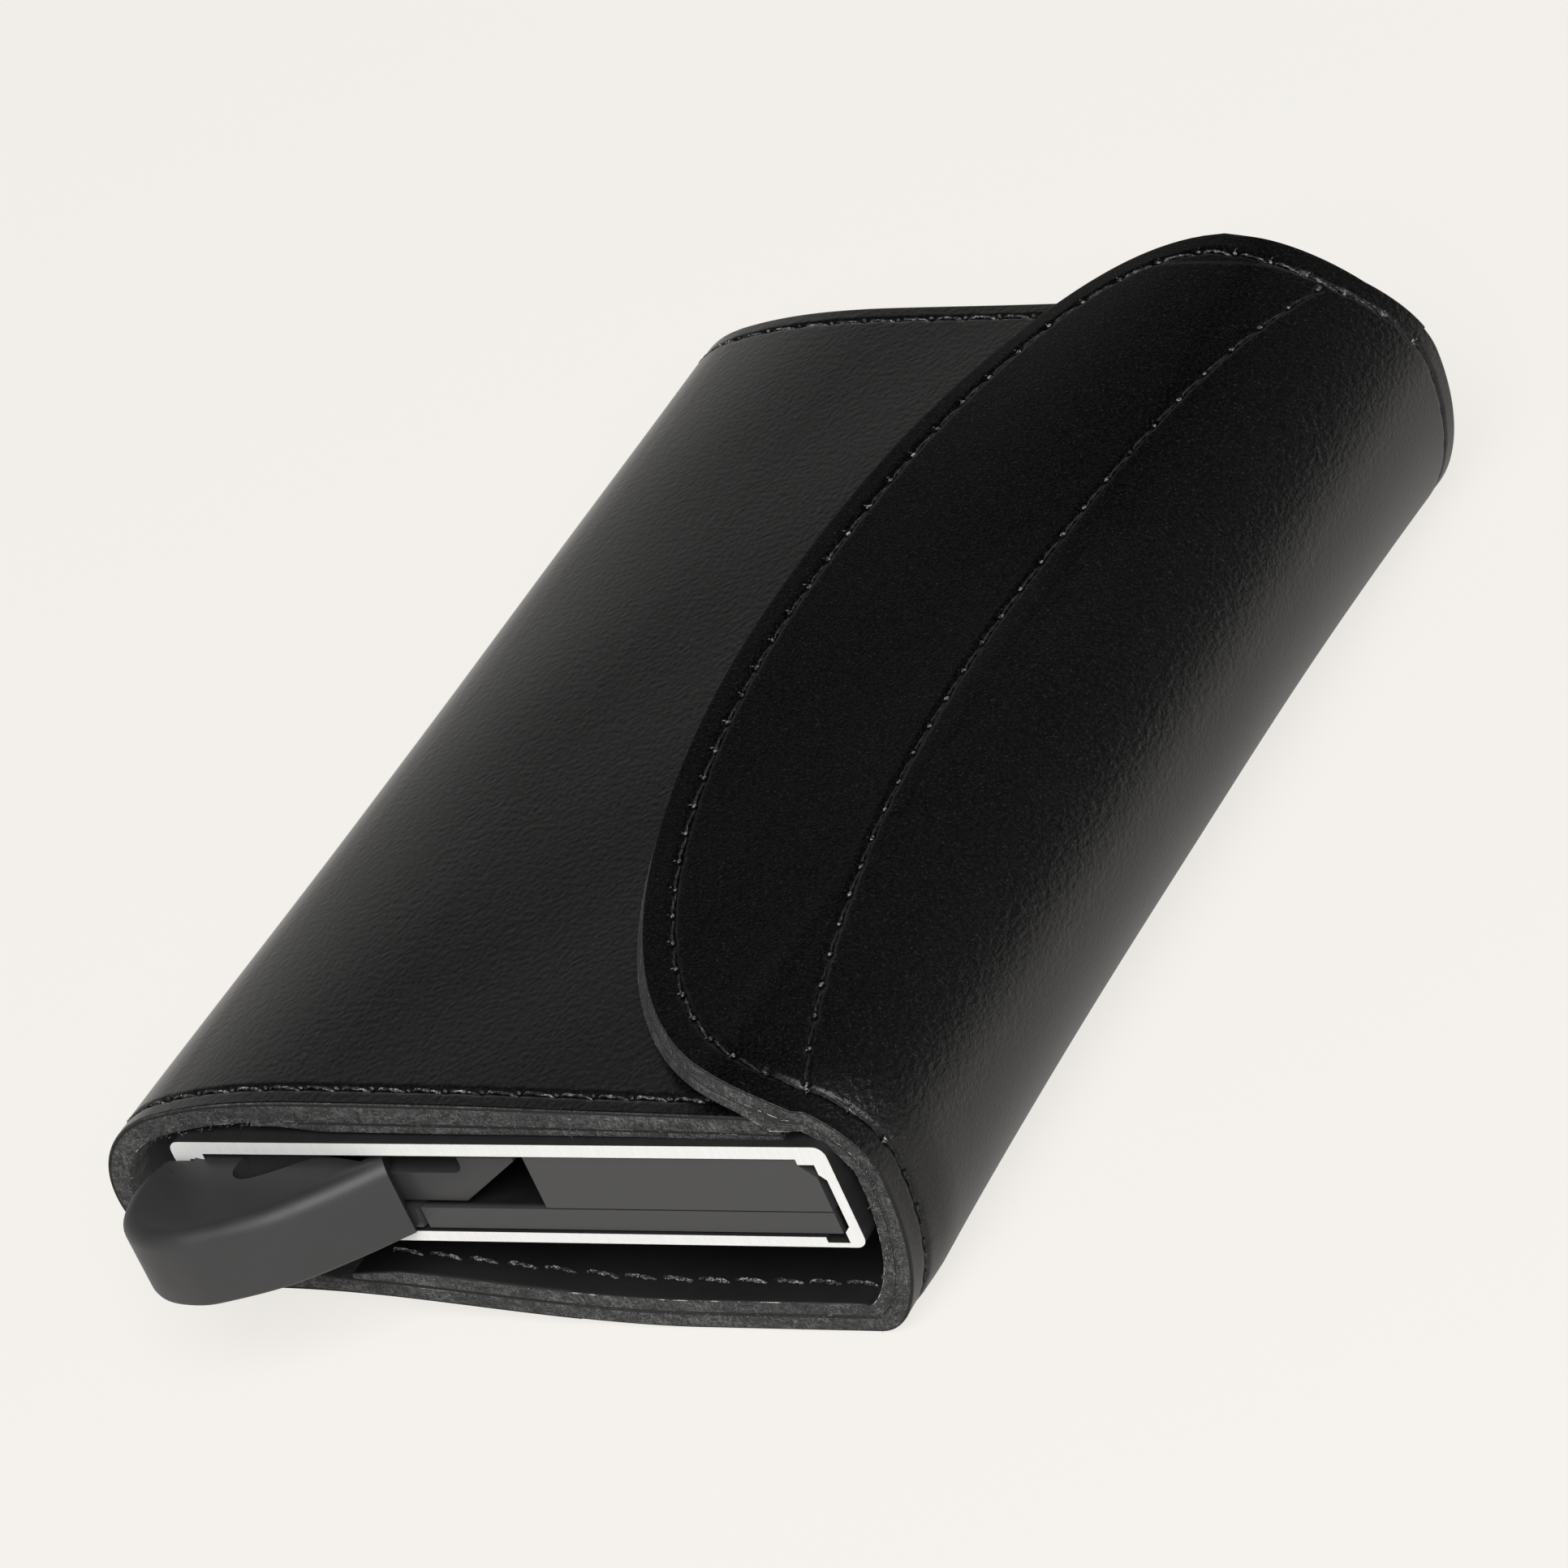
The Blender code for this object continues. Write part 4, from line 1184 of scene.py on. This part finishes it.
def build_front(rng):
    """Front panel, round fold and the left half of the back."""
    plain, face, seams = pressed_face(FRONT_PARTS, FRONT_SEAM_INSET)
    x = plain[0, :, 0]
    after_fold = np.arange(len(x)) >= sum(len(values) for _, values in FRONT_PARTS[:2])
    across = smooth((x - CREST_X) / (FRONT_RIGHT - CREST_X)) * ~after_fold
    thinning = smooth((x - FOLD_X) / (FACING_LEFT + THINNED_BY - FOLD_X)) * after_fold
    thickness = (FRONT_SKIN + (FRONT_SKIN_RIGHT - FRONT_SKIN) * across
                 + (BACK_SKIN - FRONT_SKIN) * thinning)
    skin = leather_sheet("front_skin", face, thickness, (GRAIN, FLESH, CUT), [-1])
    settle(skin, FOLD_BLEND, "black_leather", ["front_cover"])
    inner_face = under(plain, thickness + GLUE)
    front_depth = FRONT_FACING + (FRONT_FACING_RIGHT - FRONT_FACING) * across
    back_depth = np.full(len(x), BACK_FACING)
    front_columns = (x > FACING_LEFT) & ~after_fold
    back_columns = (x > FACING_LEFT + BACK_FACING_START) & after_fold
    for name, columns, depth, joined in (
            ("front_facing", front_columns, front_depth, []),
            ("back_left_facing", back_columns, back_depth, [-1])):
        grid = coarser(inner_face[:, columns], 3, 2)
        order = np.argsort(x[columns])
        depth = np.interp(grid[0, :, 0], x[columns][order], depth[columns][order])
        inwards = smooth((grid[0, :, 0] - FACING_LEFT - SKIVED_START) / SKIVED_RUN)
        skived = depth * (SKIVED_SHARE + (1.0 - SKIVED_SHARE) * inwards)
        facing = leather_sheet(name, grid, skived, (FLESH, FACING, CUT), joined)
        settle(facing, FOLD_BLEND, "lining_leather", ["front_lining"])
    end_rows("front", seams, FOLD_BLEND, rng, lift=-0.08, light=0.5, knot=0.4)
    inside = np.linspace(FACING_LEFT + INSIDE_ROW_START, BACK_SEAM_X - 0.1, 40)
    inside_rows("back_left", [(back_part, inside)], FOLD_BLEND, rng)
    edges = end_edges(plain[:, ~after_fold], FRONT_SKIN + FRONT_FACING, FRONT_HAIRS)
    add_hairs("front", edges, FOLD_BLEND, rng)


def build_back(rng):
    """Right half of the back and the lower spine."""
    plain, face, seams = pressed_face(BACK_PARTS, SPINE_SEAM_INSET)
    round_bend = smooth((np.arange(face.shape[1]) - len(BACK_PARTS[0][1])) / 30.0)
    thickness = BACK_SKIN + (SPINE_SKIN - BACK_SKIN) * round_bend
    surfaces = (SPINE_GRAIN, FLESH, CUT)
    skin = leather_sheet("back_skin", face, thickness, surfaces, [0, -1], SPINE_EDGE_ROUND)
    settle(skin, SPINE_BLEND, "black_leather", ["back_cover"])
    inner_face = coarser(under(plain, thickness + GLUE), 3, 2)
    round_bend = coarser(round_bend[None, :, None], 1, 2)[0, :, 0]
    depth = BACK_FACING + (SPINE_FACING - BACK_FACING) * round_bend
    facing = leather_sheet("back_facing", inner_face, depth, (FLESH, FACING, CUT), [0, -1])
    settle(facing, SPINE_BLEND, "lining_leather", ["back_lining"])
    end_rows("back", seams, SPINE_BLEND, rng, lift=-0.2, light=0.08, knot=0.12)
    inside = [(back_right_part, np.linspace(0.005, 0.98, 40)),
              (lower_part, np.linspace(-math.pi / 2, -0.8, 24))]
    inside_rows("back_right", inside, SPINE_BLEND, rng)
    edges = end_edges(plain, BACK_SKIN + BACK_FACING, BACK_HAIRS)
    add_hairs("back", edges, SPINE_BLEND, rng)


def build_flap(rng):
    """Upper spine and flap."""
    plain = flap_points()
    edge_seam, inner_seam = flap_edge_seam(), flap_inner_seam()
    face = press_seams(plain, [edge_seam, inner_seam], flap_margin(plain))
    outward = unit(plain[:, -1] - plain[:, -2])
    flare = outward * FLAP_FLARE
    surfaces = (SPINE_GRAIN, FLESH, CUT, *FLAP_GRAINS)
    skin = leather_sheet("flap_skin", face, SPINE_SKIN, surfaces, [0], flare=flare)
    for facet in skin.data.polygons:
        step = max(0, math.ceil((facet.center.x / MM - SHINE_START) / SHINE_STEP))
        if facet.material_index == 0 and step < SHINE_STEPS:
            facet.material_index = len(surfaces) - SHINE_STEPS + step
    settle(skin, FLAP_BLEND, "black_leather", ["flap_cover", "spine_cover"])
    lower_face = under(plain, SPINE_SKIN + GLUE)
    lower_face[:, -1] += flare
    inner_face = coarser(lower_face, 3, 2)
    flare = coarser(flare[:, None], 3, 1)[:, 0]
    over_spine = smooth(np.arange(inner_face.shape[1]) / 10.0)
    depth = SPINE_FACING + (FLAP_FACING - SPINE_FACING) * over_spine
    facing = leather_sheet("flap_facing", inner_face, depth, (FLESH, FACING, CUT), [0], flare=flare)
    settle(facing, FLAP_BLEND, "lining_leather", ["flap_lining", "spine_lining"])
    # How light the edge thread is along the seam: worn fibres and painted glints.
    wear_and_glints = np.interp((np.arange(edge_seam.count) + 0.5) / edge_seam.count, *EDGE_WEAR_AND_GLINTS)
    edge_row = stitch_row("flap_edge_stitches", edge_seam, rng, lift=-0.12, light=wear_and_glints, knot=0.9,
                          girth=0.8, tails=True)
    edge_threads = ["flap_edge_thread", "spine_thread_near", "spine_thread_far"]
    settle(edge_row, FLAP_BLEND, "black_thread", edge_threads, THREAD)
    inner_row = stitch_row("flap_inner_stitches", inner_seam, rng, lift=-0.12, light=0.04, knot=0.9)
    settle(inner_row, FLAP_BLEND, "black_thread", ["flap_inner_thread"], THREAD)
    total = SPINE_SKIN + FLAP_FACING
    spine_near, spine_far = SPINE_HAIRS
    edges = [(plain[:, -1], surface_normals(plain)[:, -1], outward, total, FLAP_HAIRS),
             end_edge(plain[:, :18], -1, 0.6 * total, spine_near),
             end_edge(plain, 0, total, spine_far)]
    add_hairs("flap", edges, FLAP_BLEND, rng)


# Hard parts

def prism(name, outline, start, stop, upright=True):
    """A closed outline, filled and extruded: a plan along Z, or a section along Y."""
    deselect()
    bpy.ops.mesh.primitive_circle_add(vertices=len(outline), radius=1.0, fill_type="NGON")
    piece = name_new(name)
    for vertex, (across, along) in zip(piece.data.vertices, outline):
        vertex.co = Vector((across, along, start) if upright else (across, start, along)) * MM
    way = (0.0, 0.0, stop - start) if upright else (0.0, stop - start, 0.0)
    set_mode("EDIT")
    bpy.ops.mesh.select_all(action="SELECT")
    bpy.ops.mesh.extrude_region_move(TRANSFORM_OT_translate={"value": Vector(way) * MM})
    set_mode("OBJECT")
    face_outwards()
    return piece


def start_picking(piece, kind):
    make_active(piece)
    set_mode("EDIT")
    bpy.ops.mesh.select_mode(type=kind)
    bpy.ops.mesh.select_all(action="DESELECT")
    set_mode("OBJECT")


def round_edges(piece, width, segments, wanted):
    """Bevels the edges whose two ends pass a test on their places."""
    start_picking(piece, "EDGE")
    corners = [vertex.co / MM for vertex in piece.data.vertices]
    for edge in piece.data.edges:
        first, second = edge.vertices
        edge.select = wanted(corners[first]) and wanted(corners[second])
    set_mode("EDIT")
    bpy.ops.mesh.bevel(offset=width * MM, segments=segments, profile=0.5, affect="EDGES",
                       clamp_overlap=False)
    set_mode("OBJECT")


def dish_top(piece, rim, depth):
    """Sinks the widest face that looks up, inside a sloping rim."""
    start_picking(piece, "FACE")
    tops = [face for face in piece.data.polygons if face.normal.z > 0.99]
    max(tops, key=lambda face: face.area).select = True
    set_mode("EDIT")
    bpy.ops.mesh.inset(thickness=rim * MM, depth=-depth * MM)
    set_mode("OBJECT")


def combine(piece, tool, operation):
    """Joins a tool to a piece, or cuts it out, and deletes the tool."""
    apply_modifier(piece, "BOOLEAN", operation=operation, solver="EXACT", object=tool)
    bpy.data.objects.remove(tool)


def curve_through(points, steps):
    """Points along a smooth curve through the given ones."""
    points = np.array(points, float)
    chain = np.vstack([2 * points[0] - points[1], points, 2 * points[-1] - points[-2]])
    share = np.linspace(0.0, 1.0, steps, endpoint=False)[:, None]
    runs = [0.5 * (2 * b + (c - a) * share + (2 * a - 5 * b + 4 * c - d) * share ** 2
                   + (3 * b - a - 3 * c + d) * share ** 3)
            for a, b, c, d in zip(chain, chain[1:], chain[2:], chain[3:])]
    return np.vstack([*runs, points[-1:]])


def pad_outline():
    """The pad's outer edge, then its end that is cut back inside the case, and its inner sides."""
    inside = [(PAD_INNER + PAD_CHAMFER, PAD_BACK), (PAD_INNER, PAD_BACK - PAD_CHAMFER),
              (PAD_INNER, PAD_SHOULDER)]
    return np.vstack([curve_through(PAD_EDGE, 6), PAD_END, inside])


def arm_outline():
    """The arm's section: a ramp under its end, and a notch with a round corner behind its head."""
    left = PIVOT.x + PAD_SWING / 2
    shelf = ARM_HIGH - ARM_NOTCH
    neck = ARM_END - ARM_HEAD
    corner = [(neck - ARM_CORNER + ARM_CORNER * math.cos(turn),
               shelf + ARM_CORNER + ARM_CORNER * math.sin(turn))
              for turn in np.linspace(0.0, -math.pi / 2, 6)]
    return [(left, ARM_LOW), (ARM_END - ARM_RAMP, ARM_LOW), (ARM_END, ARM_HIGH - ARM_TIP),
            (ARM_END, ARM_HIGH), (neck, ARM_HIGH), *corner, (left, shelf)]


def build_lever():
    """The thumb pad with its round rim, dished top and hollow, and the arm seen in the slot."""
    low, high = LEVER_LOW.z, LEVER_HIGH.z
    pin = np.array(PIVOT)
    lever = prism("thumb_lever", pad_outline() + pin, low, high)
    outside = PIVOT.y + PAD_SHOULDER - 0.05
    round_edges(lever, PAD_RIM, 7, lambda place: place.z > high - 0.01 and place.y < outside)
    round_edges(lever, PAD_LOWER_RIM, 3, lambda place: place.z < low + 0.01 and place.y < outside)
    dish_top(lever, PAD_DISH_RIM, PAD_DISH)
    hollow = np.vstack([curve_through(HOLLOW_EDGE, 5), HOLLOW_CORNER]) + pin
    combine(lever, prism("hollow", hollow, high - HOLLOW_DEPTH, high + CUT_OVER), "DIFFERENCE")
    arm_front = CASE_LOW.y + ARM_SETBACK
    arm = prism("arm", arm_outline(), arm_front, PIVOT.y + PAD_BACK, upright=False)
    round_edges(arm, ARM_ROUND, 2, lambda place: place.y < arm_front + 0.01)
    combine(lever, arm, "UNION")
    foot = np.vstack([around(PAD_SWING, FOOT_TURNS), FOOT_INNER]) + pin
    combine(lever, prism("foot", foot, low, FOOT_TOP), "UNION")
    bore = around(BORE_RADIUS, np.linspace(0.0, 2.0 * math.pi, 32, endpoint=False)) + pin
    combine(lever, prism("bore", bore, low - CUT_OVER, high + CUT_OVER), "DIFFERENCE")
    shade(lever, 35.0)
    finish_with(lever, moulded_plastic("lever_plastic", 0.025, 0.026, 0.5))
    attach(lever, "lever")
    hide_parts("ejector_lever")


def dress_hard_parts():
    surfaces = {
        "card_case": anodised_case(),
        "end_cap_upper": moulded_plastic("cap_upper_plastic", 0.038, 0.039, 0.55),
        # The lower cap's faces inside the case carry painted shade.
        "end_cap_lower": moulded_plastic("cap_lower_plastic", 0.038, 0.039, 0.57, shade_inside=True),
        "pivot_pin": bright_steel(),
        "mounting_tape": foam_tape(),
    }
    for node, surface in surfaces.items():
        finish_with(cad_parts[node], surface)


# Studio

def build_floor():
    """A pale floor that keeps the shadow, and looks evenly pale in reflections."""
    deselect()
    level = cad_box[0].z - FLOOR_GAP * MM
    bpy.ops.mesh.primitive_plane_add(size=FLOOR_SIZE, location=(0.0, 0.0, level))
    floor = name_new("studio_floor")
    pale = Finish("pale_floor", Base_Color=FLOOR_COLOUR, Roughness=1.0, Specular_IOR_Level=0.0)
    rays = pale.add("LightPath").outputs
    mirrored = pale.math("MAXIMUM", rays["Is Glossy Ray"], rays["Is Transmission Ray"])
    seen = pale.times(rays["Is Camera Ray"], FLOOR_GLOW)
    share = pale.math("MAXIMUM", pale.times(mirrored, MIRRORED_GLOW), seen)
    glow = pale.add("Emission", Color=FLOOR_COLOUR, Strength=1.0)
    mixed = pale.add("MixShader", Fac=share)
    pale.connect(mixed.inputs[1], pale.shader.outputs[0])
    pale.connect(mixed.inputs[2], glow.outputs[0])
    pale.connect(pale.output.inputs[0], mixed.outputs[0])
    finish_with(floor, pale.surface)


def build_world():
    """Bright round the horizon and dim overhead, as in a low white studio."""
    world = bpy.data.worlds.new("studio")
    world.use_nodes = True
    world.node_tree.nodes.clear()
    sky = Nodes(world.node_tree)
    x, _, z = sky.axes(sky.add("TexCoord").outputs["Generated"])
    low = sky.math("ADD", sky.between(z, 0.4, 0.6, 0.42, 0.02),
                   sky.between(z, 0.05, 0.3, 0.25, 0.0))
    left = sky.times(sky.between(x, 0.5, -0.2), low)
    right = sky.times(sky.between(x, -0.2, 0.5), sky.between(z, 0.0, 0.45, 0.55, 0.02))
    light = sky.add("Background", Color=SKY_COLOUR, Strength=sky.math("ADD", left, right))
    sky.add("OutputWorld", Surface=light.outputs[0])
    bpy.context.scene.world = world


def add_to_scene(name, data, stand, aim, roll=0.0):
    """Adds a camera or a lamp that looks from one point to another."""
    added = bpy.data.objects.new(name, data)
    added.location = stand * MM
    added.rotation_mode = "QUATERNION"
    look = (aim - stand).to_track_quat("-Z", "Y")
    added.rotation_quaternion = look @ Quaternion((0.0, 0.0, 1.0), roll)
    bpy.context.scene.collection.objects.link(added)
    return added


def build_camera():
    data = bpy.data.cameras.new("camera")
    data.lens = CAMERA_LENS
    data.clip_start = 0.05
    data.clip_end = 50.0
    bpy.context.scene.camera = add_to_scene("camera", data, CAMERA_PLACE, CAMERA_AIM, CAMERA_ROLL)


def build_key_light():
    data = bpy.data.lights.new("key", "AREA")
    data.shape = "SQUARE"
    data.size = KEY_SIZE
    data.energy = KEY_POWER
    add_to_scene("key", data, KEY_PLACE, Vector((0.0, 0.0, 0.0)))


bpy.context.scene.view_settings.view_transform = "Standard"
build_camera()
build_floor()
build_world()
build_key_light()
draws = random.Random(7)
build_front(draws)
build_back(draws)
build_flap(draws)
build_lever()
dress_hard_parts()
